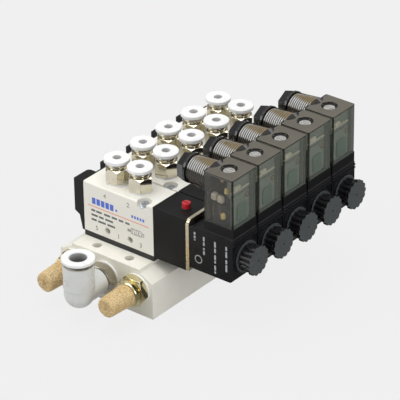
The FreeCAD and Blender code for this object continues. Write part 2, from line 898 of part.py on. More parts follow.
def fitting_body(x):
    """Push-in fitting: stud, hexagon, narrow groove and rounded ring."""
    stud_floor = body_top - fitting_stud_length
    stud_radius = outlet_thread_radius - thread_gap
    base = (x, 0, fitting_base)
    ring_start = (x, 0, neck_floor + fitting_groove_height)
    pieces = [
        rod(stud_radius, (x, 0, stud_floor), fitting_base - stud_floor, z_dir),
        turned_hex(fitting_across_flats, base, fitting_hex_height, z_dir, fitting_hex_turn),
        rod(fitting_groove_radius, (x, 0, neck_floor), fitting_groove_height, z_dir),
        rounded_rod(fitting_ring_radius, ring_start, fitting_ring_height, z_dir, fitting_ring_round),
    ]
    tools = [
        rod(fitting_sleeve_radius + slide_gap, (x, 0, sleeve_floor), fitting_sleeve_depth, z_dir),
        rod(outlet_passage_radius, (x, 0, stud_floor), sleeve_floor - stud_floor, z_dir),
    ]
    return cut(fused(pieces), tools)


def release_collar(x, y, floor, radius, height, sleeve_radius, sleeve_end, hole_radius):
    """Release collar: a bevelled disc on a sleeve that the tube passes through."""
    straight = height - collar_bevel
    disc = rod(radius, (x, y, floor), straight, z_dir)
    bevel = taper(radius, radius - collar_bevel, (x, y, floor + straight), collar_bevel, z_dir)
    sleeve = rod(sleeve_radius, (x, y, sleeve_end), floor - sleeve_end, z_dir)
    hole = rod(hole_radius, (x, y, sleeve_end), floor + height - sleeve_end, z_dir)
    return cut(fused([disc, bevel, sleeve]), [hole])


def fitting_collar(x):
    """Release collar of a straight fitting, raised by its full travel."""
    sleeve_end = sleeve_floor + collar_travel + stop_gap
    return release_collar(
        x, 0, collar_floor, collar_radius, collar_height,
        fitting_sleeve_radius, sleeve_end, fitting_tube_radius,
    )


def washer(centre, direction, radius, hole_radius):
    """Flat sealing washer that starts at a point and lies across a direction."""
    ring = rod(radius, centre, washer_height, direction)
    return cut(ring, [rod(hole_radius, centre, washer_height, direction)])


def port_washers():
    """Washers under the ten straight fittings, the elbow and the two silencers."""
    rings = []
    hole = outlet_thread_radius
    for x in (outlet_a_x, outlet_b_x):
        rings += at_stations(washer((x, 0, body_top), z_dir, fitting_washer_radius, hole))
    for column in (-1, 0, 1):
        centre = (column * channel_spacing, front_y, channel_height)
        rings.append(washer(centre, -y_dir, end_washer_radius, end_thread_radius))
    return rings


def elbow_stud():
    """Threaded stud of the supply elbow, with the journal that the elbow turns on."""
    base = (0, end_hex_y, channel_height)
    stem = rod(end_thread_radius - thread_gap, base, washer_height + elbow_stud_length, y_dir)
    hexagon = turned_hex(end_hex_across_flats, base, end_hex_length, -y_dir, end_hex_turn)
    journal = rod(elbow_pivot_radius, (0, end_hex_front, channel_height), elbow_pivot_length, -y_dir)
    bore_start = end_hex_front - elbow_pivot_length
    bore_length = elbow_pivot_length + end_hex_length + washer_height + elbow_stud_length
    bore = rod(elbow_bore_radius, (0, bore_start, channel_height), bore_length, y_dir)
    return cut(fused([stem, hexagon, journal]), [bore])


def elbow_body():
    """Elbow with a level branch on the journal, a round heel and an upright arm."""
    branch_end = end_hex_front - elbow_gap
    heel_centre = (0, elbow_arm_y, channel_height)
    seam = (0, elbow_arm_y, elbow_seam_z)
    pieces = [
        rod(elbow_branch_radius, (0, branch_end, channel_height), branch_end - elbow_arm_y, -y_dir),
        Part.makeSphere(elbow_heel_radius, FreeCAD.Vector(*heel_centre)),
        rod(elbow_heel_radius, heel_centre, elbow_seam_height, z_dir),
        rod(elbow_arm_radius, seam, elbow_arm_top - elbow_seam_z, z_dir),
    ]
    tube_floor = elbow_sleeve_floor - elbow_tube_depth
    journal_hole = elbow_pivot_radius + slide_gap
    journal_depth = branch_end - (end_hex_front - elbow_pivot_length) + elbow_gap
    passage_floor = channel_height - elbow_passage_radius
    tools = [
        rod(journal_hole, (0, branch_end, channel_height), journal_depth, -y_dir),
        rod(elbow_tube_radius, (0, elbow_arm_y, tube_floor), elbow_tube_depth, z_dir),
        rod(elbow_passage_radius, (0, elbow_arm_y, passage_floor), tube_floor - passage_floor, z_dir),
    ]
    sleeve_place = (0, elbow_arm_y, elbow_sleeve_floor)
    tools.append(rod(elbow_sleeve_radius + slide_gap, sleeve_place, elbow_sleeve_depth, z_dir))
    return cut(fused(pieces), tools)


def elbow_ring():
    """Metal ring that closes the top of the elbow's arm."""
    ring = rod(elbow_ring_radius, (0, elbow_arm_y, elbow_arm_top), elbow_ring_height, z_dir)
    hole_radius = elbow_sleeve_radius + slide_gap
    hole = rod(hole_radius, (0, elbow_arm_y, elbow_arm_top), elbow_ring_height, z_dir)
    return cut(ring, [hole])


def elbow_collar():
    """Release collar of the supply elbow, with a lead-in for the tube."""
    sleeve_end = elbow_sleeve_floor + collar_travel + stop_gap
    top = elbow_collar_floor + elbow_collar_height
    collar = release_collar(
        0, elbow_arm_y, elbow_collar_floor, elbow_collar_radius, elbow_collar_height,
        elbow_sleeve_radius, sleeve_end, elbow_tube_radius,
    )
    mouth = elbow_tube_radius + elbow_lead
    return cut(collar, [taper(mouth, elbow_tube_radius, (0, elbow_arm_y, top), elbow_lead, -z_dir)])


def silencer_hex(x):
    """Brass base of a silencer: stem, hexagon and round-edged collar with a seat in it."""
    base = (x, end_hex_y, channel_height)
    collar_place = (x, silencer_collar_y, channel_height)
    mouth = (x, silencer_front, channel_height)
    pieces = [
        rod(end_thread_radius - thread_gap, base, washer_height + silencer_stud_length, y_dir),
        turned_hex(silencer_across_flats, base, silencer_hex_length, -y_dir, silencer_hex_turn),
    ]
    length = silencer_collar_length
    pieces.append(rounded_rod(silencer_collar_radius, collar_place, length, -y_dir, silencer_collar_round))
    passage_length = front_y + silencer_stud_length - silencer_front
    seat = rod(silencer_bore_radius, mouth, silencer_seat_depth, y_dir)
    passage = rod(silencer_passage_radius, mouth, passage_length, y_dir)
    return cut(fused(pieces), [seat, passage])


def silencer_element(x):
    """Sintered cone that lets the exhaust air out."""
    mouth = (x, silencer_front, channel_height)
    root = rod(silencer_bore_radius, mouth, silencer_seat_depth, y_dir)
    tip = front_y - silencer_reach
    length = silencer_front - tip - silencer_tip_bevel
    cone = taper(silencer_root_radius, silencer_tip_radius, mouth, length, -y_dir)
    nose = taper(
        silencer_tip_radius, silencer_tip_radius - silencer_tip_bevel,
        (x, tip + silencer_tip_bevel, channel_height), silencer_tip_bevel, -y_dir,
    )
    return fused([root, cone, nose])


def channel_plug(x):
    """Socket plug that closes a channel at the back end."""
    end = back_y - channel_plug_sink
    body = rod(end_thread_radius - thread_gap, (x, end, channel_height), channel_plug_length, -y_dir)
    socket = hex_bar(channel_plug_socket, (x, end, channel_height), channel_plug_socket_depth, -y_dir, 0)
    return cut(body, [socket])


def save(name, shape):
    """Writes one named sub-part."""
    if isinstance(shape, list):
        shape = Part.makeCompound(shape)
    shape.exportStep("parts/" + name + ".step")


def save_each(name, shape):
    """Writes one sub-part for each valve, numbered from the elbow's end of the row."""
    for index, copy in enumerate(at_stations(shape)):
        save(name + "_" + str(index + 1), copy)


def main():
    os.makedirs("parts", exist_ok=True)
    save("manifold", manifold())
    save("channel_plugs", [channel_plug(column * channel_spacing) for column in (-1, 0, 1)])
    save("station_gaskets", at_stations(station_gasket()))
    save("valve_bodies", at_stations(valve_body()))
    save("end_caps", at_stations(end_cap()))
    save("pilot_heads", at_stations(pilot_head()))
    save("override_rings", at_stations(override_ring()))
    save("yoke_plates", at_stations(yoke_plate()))
    save("coils", at_stations(coil()))
    save("core_tubes", at_stations(core_tube()))
    save("coil_nuts", at_stations(coil_nut()))
    save("plug_gaskets", at_stations(plug_frame(coil_top, plug_base_floor, plug_wall)))
    save("plug_bases", at_stations(plug_frame(plug_base_floor, plug_base_top, plug_wall)))
    save("terminal_blocks", at_stations(terminal_block()))
    save("plug_covers", at_stations(plug_cover()))
    save("indicator_boards", at_stations(indicator_board()))
    save("plug_screws", at_stations(plug_screw()))
    save("gland_nuts", at_stations(gland_nut()))
    save("gland_seals", at_stations(gland_seal()))
    hold_screws = []
    for x, y in hold_screw_places():
        hold_screws += at_stations(hold_screw(x, y))
    save("hold_down_screws", hold_screws)
    end_screws = []
    for y, z in cap_screw_places():
        end_screws += at_stations(cap_screw(y, z))
    for y, z in head_screw_places():
        end_screws += at_stations(head_screw(y, z))
    save("end_screws", end_screws)
    fittings = []
    for x in (outlet_a_x, outlet_b_x):
        fittings += at_stations(fitting_body(x))
    save("fitting_bodies", fittings)
    save("port_washers", port_washers())
    save("elbow_stud", elbow_stud())
    save("elbow_body", elbow_body())
    save("elbow_ring", elbow_ring())
    save("elbow_collar", elbow_collar())
    sides = (-channel_spacing, channel_spacing)
    save("silencer_hexes", [silencer_hex(x) for x in sides])
    save("silencer_elements", [silencer_element(x) for x in sides])
    save("return_springs", at_stations(spool_spring()) + at_stations(armature_spring()))
    save_each("spool", spool())
    save_each("armature", armature())
    save_each("override_spring", override_spring())
    save_each("override_pin", override_pin())
    save_each("collar_a", fitting_collar(outlet_a_x))
    save_each("collar_b", fitting_collar(outlet_b_x))


main()
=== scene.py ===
"""Looks of the valve island: finishes for its solids, and the fine pieces that lie on and inside them."""

import enum
import functools
import logging
import math
from dataclasses import dataclass, replace

import bmesh
import bpy
import numpy as np
from bpy.types import ID, Material, Mesh, NodeOutputs as Outputs, NodeSocket as Socket, NodeTree, Object, World
from mathutils import Matrix, Vector


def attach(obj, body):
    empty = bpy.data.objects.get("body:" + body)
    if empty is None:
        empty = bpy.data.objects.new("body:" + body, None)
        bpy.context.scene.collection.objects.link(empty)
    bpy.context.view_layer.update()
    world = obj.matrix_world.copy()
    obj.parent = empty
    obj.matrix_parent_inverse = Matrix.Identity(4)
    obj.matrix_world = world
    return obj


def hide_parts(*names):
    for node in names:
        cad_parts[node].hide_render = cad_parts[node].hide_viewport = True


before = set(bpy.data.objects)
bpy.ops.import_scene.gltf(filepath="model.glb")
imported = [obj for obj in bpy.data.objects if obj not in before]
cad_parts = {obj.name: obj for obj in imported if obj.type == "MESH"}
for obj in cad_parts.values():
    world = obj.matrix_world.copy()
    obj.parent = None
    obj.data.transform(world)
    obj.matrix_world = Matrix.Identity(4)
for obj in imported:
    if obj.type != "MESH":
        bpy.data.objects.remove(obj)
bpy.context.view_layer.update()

log = logging.getLogger("valve_island")

MM = 0.001
ROOT = "manifold_block"
INK = 0.02  # half the thickness of print, in millimetres
WELD = 1e-7  # how close points are that become one, in metres
PILLOW_STEPS = 14  # half the steps round a pillow
BEVEL_SAMPLES = 6
BAR_CORNER = 0.3  # radius of a printed bar's corners, in millimetres

Colour = tuple[float, float, float]
Place = tuple[float, float, float]
Pair = tuple[float, float]
Profile = tuple[Pair, ...]
Box = tuple[Place, Place]
Lump = tuple[Place, float, Place]


# Surfaces


@dataclass
class Surface:
    """Points in millimetres, and the four-cornered faces between them."""

    points: np.ndarray
    faces: np.ndarray

    def moved(self, x: float = 0.0, y: float = 0.0, z: float = 0.0) -> "Surface":
        """Returns a copy shifted by the three distances."""
        return Surface(self.points + np.array([x, y, z]), self.faces)

    def laid(self) -> "Surface":
        """Returns a copy turned so that its Z axis lies along X."""
        return Surface(self.points @ np.array(Matrix.Rotation(math.pi / 2, 3, "Y")).T, self.faces)

    def mesh(self, name: str) -> Mesh:
        """Returns the surface as a mesh in metres."""
        made = bpy.data.meshes.new(name)
        made.from_pydata((self.points * MM).tolist(), [], self.faces.tolist())
        return made


def joined(parts: list[Surface]) -> Surface:
    """Returns several surfaces as one, whose face numbers are shifted past the points before them."""
    counts = np.cumsum([0] + [len(part.points) for part in parts[:-1]])
    points = np.concatenate([part.points for part in parts])
    return Surface(points, np.concatenate([part.faces + count for part, count in zip(parts, counts)]))


def grid(points: np.ndarray, wrap_rows: bool = False, wrap_columns: bool = True) -> Surface:
    """Joins a rows x columns grid of points: face (r, c) has corners (r, c), (r, c+1), (r+1, c+1), (r+1, c).

    Args:
        points: an array of shape (rows, columns, 3).
        wrap_rows: whether the last row meets the first.
        wrap_columns: whether the last column meets the first.

    Returns:
        The surface through the points.
    """
    rows, columns = points.shape[:2]
    index = np.arange(rows * columns).reshape(rows, columns)
    faces = np.stack([np.roll(index, step, (0, 1)) for step in ((0, 0), (0, -1), (-1, -1), (-1, 0))], axis=-1)
    faces = faces[: rows if wrap_rows else rows - 1, : columns if wrap_columns else columns - 1]
    return Surface(points.reshape(-1, 3), faces.reshape(-1, 4))


def revolved(profile: Profile, segments: int, ring: bool = False) -> Surface:
    """Turns a profile of (radius, height) round Z: point = (radius cos a, radius sin a, height).

    Args:
        profile: the outline; its ends have radius 0 unless it is a ring.
        segments: how many steps go round.
        ring: whether the outline closes on itself.

    Returns:
        The surface of revolution.
    """
    outline = np.array(profile, float)
    angle = np.linspace(0, 2 * math.pi, segments, endpoint=False)
    radius, height = outline[:, :1], outline[:, 1:]
    points = np.stack([radius * np.cos(angle), radius * np.sin(angle), height + 0 * angle], axis=-1)
    return grid(points, wrap_rows=ring)


def pillow(size: Place, power: float, middle: Place) -> Surface:
    """Rounded block as a superellipsoid: each of cos and sin keeps its sign and is raised to a small power.

    Args:
        size: its three sides.
        power: from near 0, a sharp block, to 1, an ellipsoid.
        middle: where its centre is.

    Returns:
        The closed surface.
    """
    lift = np.linspace(-math.pi / 2, math.pi / 2, PILLOW_STEPS + 1)[:, None]
    turn = np.linspace(0, 2 * math.pi, 2 * PILLOW_STEPS, endpoint=False)[None, :]
    waves = (np.cos(lift), np.cos(turn), np.sin(turn), np.sin(lift))
    across, ahead, aside, up = (np.sign(wave) * np.abs(wave) ** power for wave in waves)
    unit = np.stack([across * ahead, across * aside, up + 0 * turn], axis=-1)
    return grid(unit * np.array(size) / 2).moved(*middle)


def slab(outline: np.ndarray, axis: int, low: float, high: float) -> Surface:
    """Carries an outline through a thickness: rows of points from its middle to its edge on both faces.

    Args:
        outline: corners in the two other axes, round a centre that sees all of them.
        axis: the axis that the thickness lies along.
        low: where it starts.
        high: where it ends.

    Returns:
        The closed surface.
    """
    middle = outline.mean(axis=0)
    rows = ((0.0, low), (1.0, low), (1.0, high), (0.0, high))
    return grid(np.stack([np.insert(middle + (outline - middle) * share, axis, at, axis=1) for share, at in rows]))


def block(low: Place, high: Place) -> Surface:
    """Returns a plain block between its lowest and its highest corner."""
    (x0, y0, z0), (x1, y1, z1) = low, high
    return slab(np.array([[x0, y0], [x1, y0], [x1, y1], [x0, y1]]), 2, z0, z1)


def slab_outline(x0: float, z0: float, x1: float, z1: float, radius: float) -> np.ndarray:
    """Rounded rectangle: four corner arcs one after another.

    Args:
        x0, z0: its lowest corner.
        x1, z1: its highest corner.
        radius: of the corners.

    Returns:
        The outline as an array of (x, z).
    """
    radius = min(radius, (x1 - x0) / 2, (z1 - z0) / 2)
    left, right, low, high = x0 + radius, x1 - radius, z0 + radius, z1 - radius
    corners = []
    for quarter, (x, z) in enumerate(((right, high), (left, high), (left, low), (right, low))):
        angle = np.linspace(0, math.pi / 2, 4) + quarter * math.pi / 2
        corners.append(np.stack([x + radius * np.cos(angle), z + radius * np.sin(angle)], axis=-1))
    return np.concatenate(corners)


def stroke(x0: float, z0: float, x1: float, z1: float, width: float) -> np.ndarray:
    """Outline of a straight line of print with square ends.

    Args:
        x0, z0: start.
        x1, z1: end.
        width: of the line.

    Returns:
        The outline as an array of (x, z).
    """
    start, end = np.array([x0, z0]), np.array([x1, z1])
    along = (end - start) / np.linalg.norm(end - start)
    side = np.array([-along[1], along[0]]) * width / 2
    return np.stack([start + side, start - side, end - side, end + side])


def linked(name: str, data: ID) -> Object:
    """Returns a new object of a mesh, lamp or camera, which is linked to the scene."""
    made = bpy.data.objects.new(name, data)
    bpy.context.scene.collection.objects.link(made)
    return made


def add_piece(mesh: Mesh, finish: "Finish", crease: float = 35.0) -> Object:
    """Makes a piece of a mesh, under the mesh's name, with its faces outwards, and lets it ride on the manifold.

    Args:
        mesh: its shape.
        finish: its finish.
        crease: the angle in degrees past which an edge stays sharp.

    Returns:
        The piece.
    """
    shape = bmesh.new()
    shape.from_mesh(mesh)
    bmesh.ops.remove_doubles(shape, verts=shape.verts, dist=WELD)
    bmesh.ops.recalc_face_normals(shape, faces=shape.faces)
    shape.to_mesh(mesh)
    shape.free()
    mesh.polygons.foreach_set("use_smooth", np.ones(len(mesh.polygons), bool))
    mesh.set_sharp_from_angle(angle=math.radians(crease))
    mesh.materials.append(finish.material())
    piece = linked(mesh.name, mesh)
    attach(piece, ROOT)
    log.info("%s: %d faces on %s", mesh.name, len(mesh.polygons), ROOT)
    return piece


# Finishes


class Pattern(enum.Enum):
    """Node groups that several finishes use."""

    GRAIN = "surface_grain"
    EDGE_HIGHLIGHT = "painted_edge_highlight"
    GRANULES = "sintered_granules"


@dataclass
class Graph:
    """A node tree with short ways to add nodes and join them."""

    tree: NodeTree

    @classmethod
    def emptied(cls, owner: Material | World) -> "Graph":
        """Returns the graph of a material or world, with nothing in it."""
        owner.use_nodes = True
        owner.node_tree.nodes.clear()
        return cls(owner.node_tree)

    def feed(self, end: Socket, value: object) -> None:
        """Fills an input.

        Args:
            end: the input.
            value: a socket to link, or a number, vector or colour to set.
        """
        if isinstance(value, Socket):
            self.tree.links.new(value, end)
        else:
            end.default_value = (*value, 1.0) if end.type == "RGBA" else value

    def add(self, kind: str, inputs: dict[str | int, object] | None = None, **values: object) -> Outputs:
        """Adds a node.

        Args:
            kind: the node's type name after ShaderNode.
            inputs: what goes into its inputs, by their names or numbers.
            values: its properties.

        Returns:
            Its outputs.
        """
        node = self.tree.nodes.new("ShaderNode" + kind)
        for key, value in values.items():
            setattr(node, key, value)
        for key, value in (inputs or {}).items():
            self.feed(node.inputs[key], value)
        return node.outputs

    def calc(self, operation: str, *values: object, clamp: bool = False) -> Socket:
        """Returns a sum or product of sockets and numbers, kept from 0 to 1 where it is clamped."""
        return self.add("Math", dict(enumerate(values)), operation=operation, use_clamp=clamp)[0]

    def most(self, *values: Socket) -> Socket:
        """Returns the largest of several values."""
        return functools.reduce(functools.partial(self.calc, "MAXIMUM"), values)

    def mixed(self, factor: Socket, first: object, second: object) -> Socket:
        """Returns a mix of two colours, the first where the factor is 0 and the second where it is 1."""
        colours = {"Factor": factor, "A": first, "B": second}
        return self.add("Mix", colours, data_type="RGBA")["Result"]

    def ranged(self, value: Socket, low: object, high: object) -> Socket:
        """Returns a value with 0 turned into the low mark and 1 into the high one."""
        return self.add("MapRange", {"Value": value, "To Min": low, "To Max": high})["Result"]

    def axes(self, vector: str, source: str = "TexCoord") -> Outputs:
        """Returns the X, Y and Z of one of a source's vectors."""
        return self.add("SeparateXYZ", {"Vector": self.add(source)[vector]})

    def group(self, pattern: Pattern, inputs: dict[str, object]) -> Outputs:
        """Returns what one of the shared groups puts out."""
        return self.add("Group", inputs, node_tree=pattern_group(pattern))

    def blend(self, factor: Socket, first: Socket, second: Socket) -> Socket:
        """Returns a mix of two shaders."""
        return self.add("MixShader", {"Fac": factor, 1: first, 2: second})["Shader"]


def pattern_group(pattern: Pattern) -> NodeTree:
    """Builds a shared group the first time that it is asked for.

    Args:
        pattern: which group.

    Returns:
        Its node tree.
    """
    found = bpy.data.node_groups.get(pattern.value)
    if found:
        return found
    tree = bpy.data.node_groups.new(pattern.value, "ShaderNodeTree")
    build, inputs, outputs = {
        Pattern.GRAIN: (build_grain, "Vector Scale Detail Low High", "Value"),
        Pattern.EDGE_HIGHLIGHT: (build_edge_highlight, "Radius Strength", "Mask"),
        Pattern.GRANULES: (build_granules, "Vector Scale", "Shade Height"),
    }[pattern]
    for direction, names in (("INPUT", inputs), ("OUTPUT", outputs)):
        for name in names.split():
            kind = "NodeSocketVector" if name == "Vector" else "NodeSocketFloat"
            tree.interface.new_socket(name=name, in_out=direction, socket_type=kind)
    graph, put = Graph(tree), tree.nodes.new("NodeGroupOutput")
    for name, value in build(graph, tree.nodes.new("NodeGroupInput").outputs).items():
        graph.feed(put.inputs[name], value)
    return tree


def build_grain(graph: Graph, given: Outputs) -> dict[str, Socket]:
    """Returns fractal noise stretched over 0..1 between a low and a high mark."""
    noise = graph.add("TexNoise", {key: given[key] for key in ("Vector", "Scale", "Detail")})
    marks = {"Value": noise["Fac"], "From Min": given["Low"], "From Max": given["High"]}
    return {"Value": graph.add("MapRange", marks)["Result"]}


def build_edge_highlight(graph: Graph, given: Outputs) -> dict[str, Socket]:
    """Returns a mask of edges for painted highlights: how far the rounded normal leans from the face's own, times a
    strength.
    """
    bevel = graph.add("Bevel", {"Radius": given["Radius"]}, samples=BEVEL_SAMPLES)
    normals = {0: bevel["Normal"], 1: graph.add("NewGeometry")["Normal"]}
    lean = graph.add("VectorMath", normals, operation="DOT_PRODUCT")["Value"]
    return {"Mask": graph.calc("MULTIPLY", graph.calc("SUBTRACT", 1.0, lean), given["Strength"], clamp=True)}


def build_granules(graph: Graph, given: Outputs) -> dict[str, Socket]:
    """Returns packed granules: each has its own shade, and its height is 1 less the distance squared."""
    cells = graph.add("TexVoronoi", {"Vector": given["Vector"], "Scale": given["Scale"]})
    shade = graph.add("SeparateColor", {"Color": cells["Color"]})["Red"]
    return {"Shade": shade, "Height": graph.calc("SUBTRACT", 1.0, graph.calc("POWER", cells["Distance"], 2.0))}


@dataclass(frozen=True)
class Finish:
    """A surface finish: its colours, gloss, grain and painted edge highlights. Lengths are in millimetres."""

    name: str
    colour: Colour
    shade: Colour
    roughness: float = 0.4
    rough_swing: float = 0.08
    metallic: float = 0.0
    specular: float = 0.5
    coat: float = 0.0
    coat_roughness: float = 0.1
    alpha: float = 1.0
    # Colour of the painted highlights along rounded edges, and how strongly they show.
    edge: Colour | None = None
    edge_amount: float = 6.0
    rounding: float = 0.25
    mottle_size: float = 9.0
    grain_size: float = 0.35
    grain_lift: float = 0.004
    subsurface: float = 0.0
    subsurface_radius: Colour = (0.004, 0.003, 0.002)
    subsurface_scale: float = 0.5

    def material(self) -> Material:
        """Builds the material, or finds the one already built.

        Returns:
            The material.
        """
        found = bpy.data.materials.get(self.name)
        if found:
            return found
        material = bpy.data.materials.new(self.name)
        graph = Graph.emptied(material)
        mottle = self.noise(graph, self.mottle_size, 4.0, 0.3)
        colour = self.paint(graph, graph.mixed(mottle, self.colour, self.shade))
        # Painted highlights along the rounded edges, in the edge colour.
        if self.edge:
            edge_highlight = graph.group(Pattern.EDGE_HIGHLIGHT, {"Radius": self.rounding * MM, "Strength": self.edge_amount})
            colour = graph.mixed(edge_highlight["Mask"], colour, self.edge)
        height = self.relief(graph, self.noise(graph, self.grain_size, 2.0, 0.25))
        bump = {"Height": height, "Distance": self.grain_lift * MM, "Strength": 1.0}
        if self.rounding:
            bevel = graph.add("Bevel", {"Radius": self.rounding * MM}, samples=BEVEL_SAMPLES)
            bump["Normal"] = bevel["Normal"]
        inputs = {
            "Base Color": colour,
            "Roughness": graph.ranged(mottle, self.roughness - self.rough_swing, self.roughness + self.rough_swing),
            "Normal": graph.add("Bump", bump)["Normal"],
            "Metallic": self.metallic,
            "Specular IOR Level": self.specular,
            "Coat Weight": self.coat,
            "Coat Roughness": self.coat_roughness,
            "Alpha": self.density(graph),
            "Subsurface Weight": self.subsurface,
            "Subsurface Radius": self.subsurface_radius,
            "Subsurface Scale": self.subsurface_scale,
        }
        shader = graph.add("BsdfPrincipled", inputs)
        graph.add("OutputMaterial", {"Surface": shader["BSDF"]})
        return material

    def noise(self, graph: Graph, size: float, detail: float, low: float) -> Socket:
        """Returns noise whose cells have a size, stretched over 0..1 from a low mark to one as far below 1."""
        place = graph.add("TexCoord")["Object"]
        inputs = {"Vector": place, "Scale": 1 / (size * MM), "Detail": detail, "Low": low, "High": 1 - low}
        return graph.group(Pattern.GRAIN, inputs)["Value"]

    def density(self, graph: Graph) -> float | Socket:
        """Returns how dense the material is; a plain finish is the same all over."""
        return self.alpha

    def paint(self, graph: Graph, base: Socket) -> Socket:
        """Returns the colour with this finish's own pattern on it."""
        return base

    def relief(self, graph: Graph, base: Socket) -> Socket:
        """Returns the height with this finish's own pattern in it."""
        return base


@dataclass(frozen=True)
class SinteredFinish(Finish):
    """Bronze granules pressed together, each with its own shade."""

    granule_size: float = 0.42
    dark: Colour = (0.36, 0.20, 0.08)
    dark_power: float = 2.2

    def granules(self, graph: Graph) -> Outputs:
        """Returns the shade and the height of the granules."""
        place = graph.add("TexCoord")["Object"]
        return graph.group(Pattern.GRANULES, {"Vector": place, "Scale": 1 / (self.granule_size * MM)})

    def paint(self, graph: Graph, base: Socket) -> Socket:
        """Returns the colour with a share of dark granules."""
        dark = graph.calc("POWER", self.granules(graph)["Shade"], self.dark_power, clamp=True)
        return graph.mixed(dark, base, self.dark)

    def relief(self, graph: Graph, base: Socket) -> Socket:
        """Returns the rounded height of each granule."""
        return self.granules(graph)["Height"]


@dataclass(frozen=True)
class SmokedFinish(Finish):
    """Smoked clear plastic: dense where it is seen along a wall, thinner round the gland's neck."""

    # The roof colour is a painted reflection of the lamp above, and the end wall colour is painted light of the side
    # lamp.
    roof: Colour = (0.12, 0.11, 0.089)
    painted_side_light: Colour = (0.116, 0.134, 0.112)
    neck_colour: Colour = (0.012, 0.011, 0.009)
    rim_colour: Colour = (0.006, 0.006, 0.005)
    roof_alpha: float = 0.94
    neck_alpha: float = 0.2
    far_alpha: float = 0.92
    lit_alpha: float = 0.12
    flat_lean: float = 0.95
    rim_lean: float = 0.99
    level_lean: float = 0.9
    neck_end: float = 61.9
    band_z: float = 98.6
    nose_z: float = 99.25
    roof_z: float = 97.5
    middle_x: float = 71.1
    half_x: float = 9.0
    half_y: float = 9.4
    pitch: float = 23.0

    def facing(self, graph: Graph, axis: str) -> Socket:
        """Returns 1 on the flat surfaces that look along an axis and 0 elsewhere."""
        return graph.calc("GREATER_THAN", graph.axes("Normal")[axis], self.flat_lean)

    def above(self, graph: Graph, height: float) -> Socket:
        """Returns 1 above a height and 0 below it."""
        return graph.calc("GREATER_THAN", graph.axes("Object")["Z"], height * MM)

    def neck(self, graph: Graph) -> Socket:
        """Returns 1 on the gland's neck and 0 elsewhere."""
        return graph.calc("LESS_THAN", graph.axes("Object")["X"], self.neck_end * MM)

    def rim(self, graph: Graph) -> Socket:
        """Finds the rounded edges and round holes, where the plastic is seen through its whole wall.

        Args:
            graph: the material's nodes.

        Returns:
            1 on them and on the band at the roof, and 0 elsewhere.
        """
        normal = graph.axes("True Normal", "NewGeometry")
        lean = [graph.calc("ABSOLUTE", normal[axis]) for axis in "XYZ"]
        rounded = graph.calc("LESS_THAN", graph.most(*lean), self.rim_lean)
        level = graph.calc("GREATER_THAN", lean[2], self.level_lean)
        return graph.most(rounded, graph.calc("SUBTRACT", self.above(graph, self.band_z), level, clamp=True))

    def paint(self, graph: Graph, base: Socket) -> Socket:
        """Returns the colour with a painted reflection of the lamp above on the roof, painted light of the side lamp
        on the greenish end wall, dark rims and a dark neck.
        """
        colour = graph.mixed(self.facing(graph, "X"), base, self.painted_side_light)
        colour = graph.mixed(self.facing(graph, "Z"), colour, self.roof)
        colour = graph.mixed(self.rim(graph), colour, self.rim_colour)
        return graph.mixed(graph.most(self.neck(graph), self.above(graph, self.nose_z)), colour, self.neck_colour)

    def density(self, graph: Graph) -> float | Socket:
        """Finds how dense each surface is: from outside by its place, from inside only on the outer skin.

        Light that falls on the parts inside passes nearly freely, as it does through clear plastic.

        Args:
            graph: the material's nodes.

        Returns:
            The alpha.
        """
        neck = self.neck(graph)
        roof = graph.calc("SUBTRACT", graph.calc("MULTIPLY", self.facing(graph, "Z"), self.roof_alpha), neck)
        rim = graph.calc("MULTIPLY", graph.calc("SUBTRACT", self.rim(graph), neck, clamp=True), self.far_alpha)
        near = graph.most(graph.ranged(neck, self.alpha, self.neck_alpha), roof, rim)
        place = graph.axes("Object")
        along = graph.calc("ABSOLUTE", graph.calc("SUBTRACT", place["X"], self.middle_x * MM))
        across = graph.calc("PINGPONG", place["Y"], self.pitch / 2 * MM)
        ends = graph.calc("GREATER_THAN", along, self.half_x * MM)
        sides = graph.calc("GREATER_THAN", across, self.half_y * MM)
        skin = graph.most(ends, sides, self.above(graph, self.roof_z))
        far = graph.calc("MULTIPLY", skin, self.far_alpha)
        inside = graph.add("NewGeometry")["Backfacing"]
        seen = graph.add("LightPath")["Is Camera Ray"]
        return graph.ranged(seen, self.lit_alpha, graph.ranged(inside, near, far))


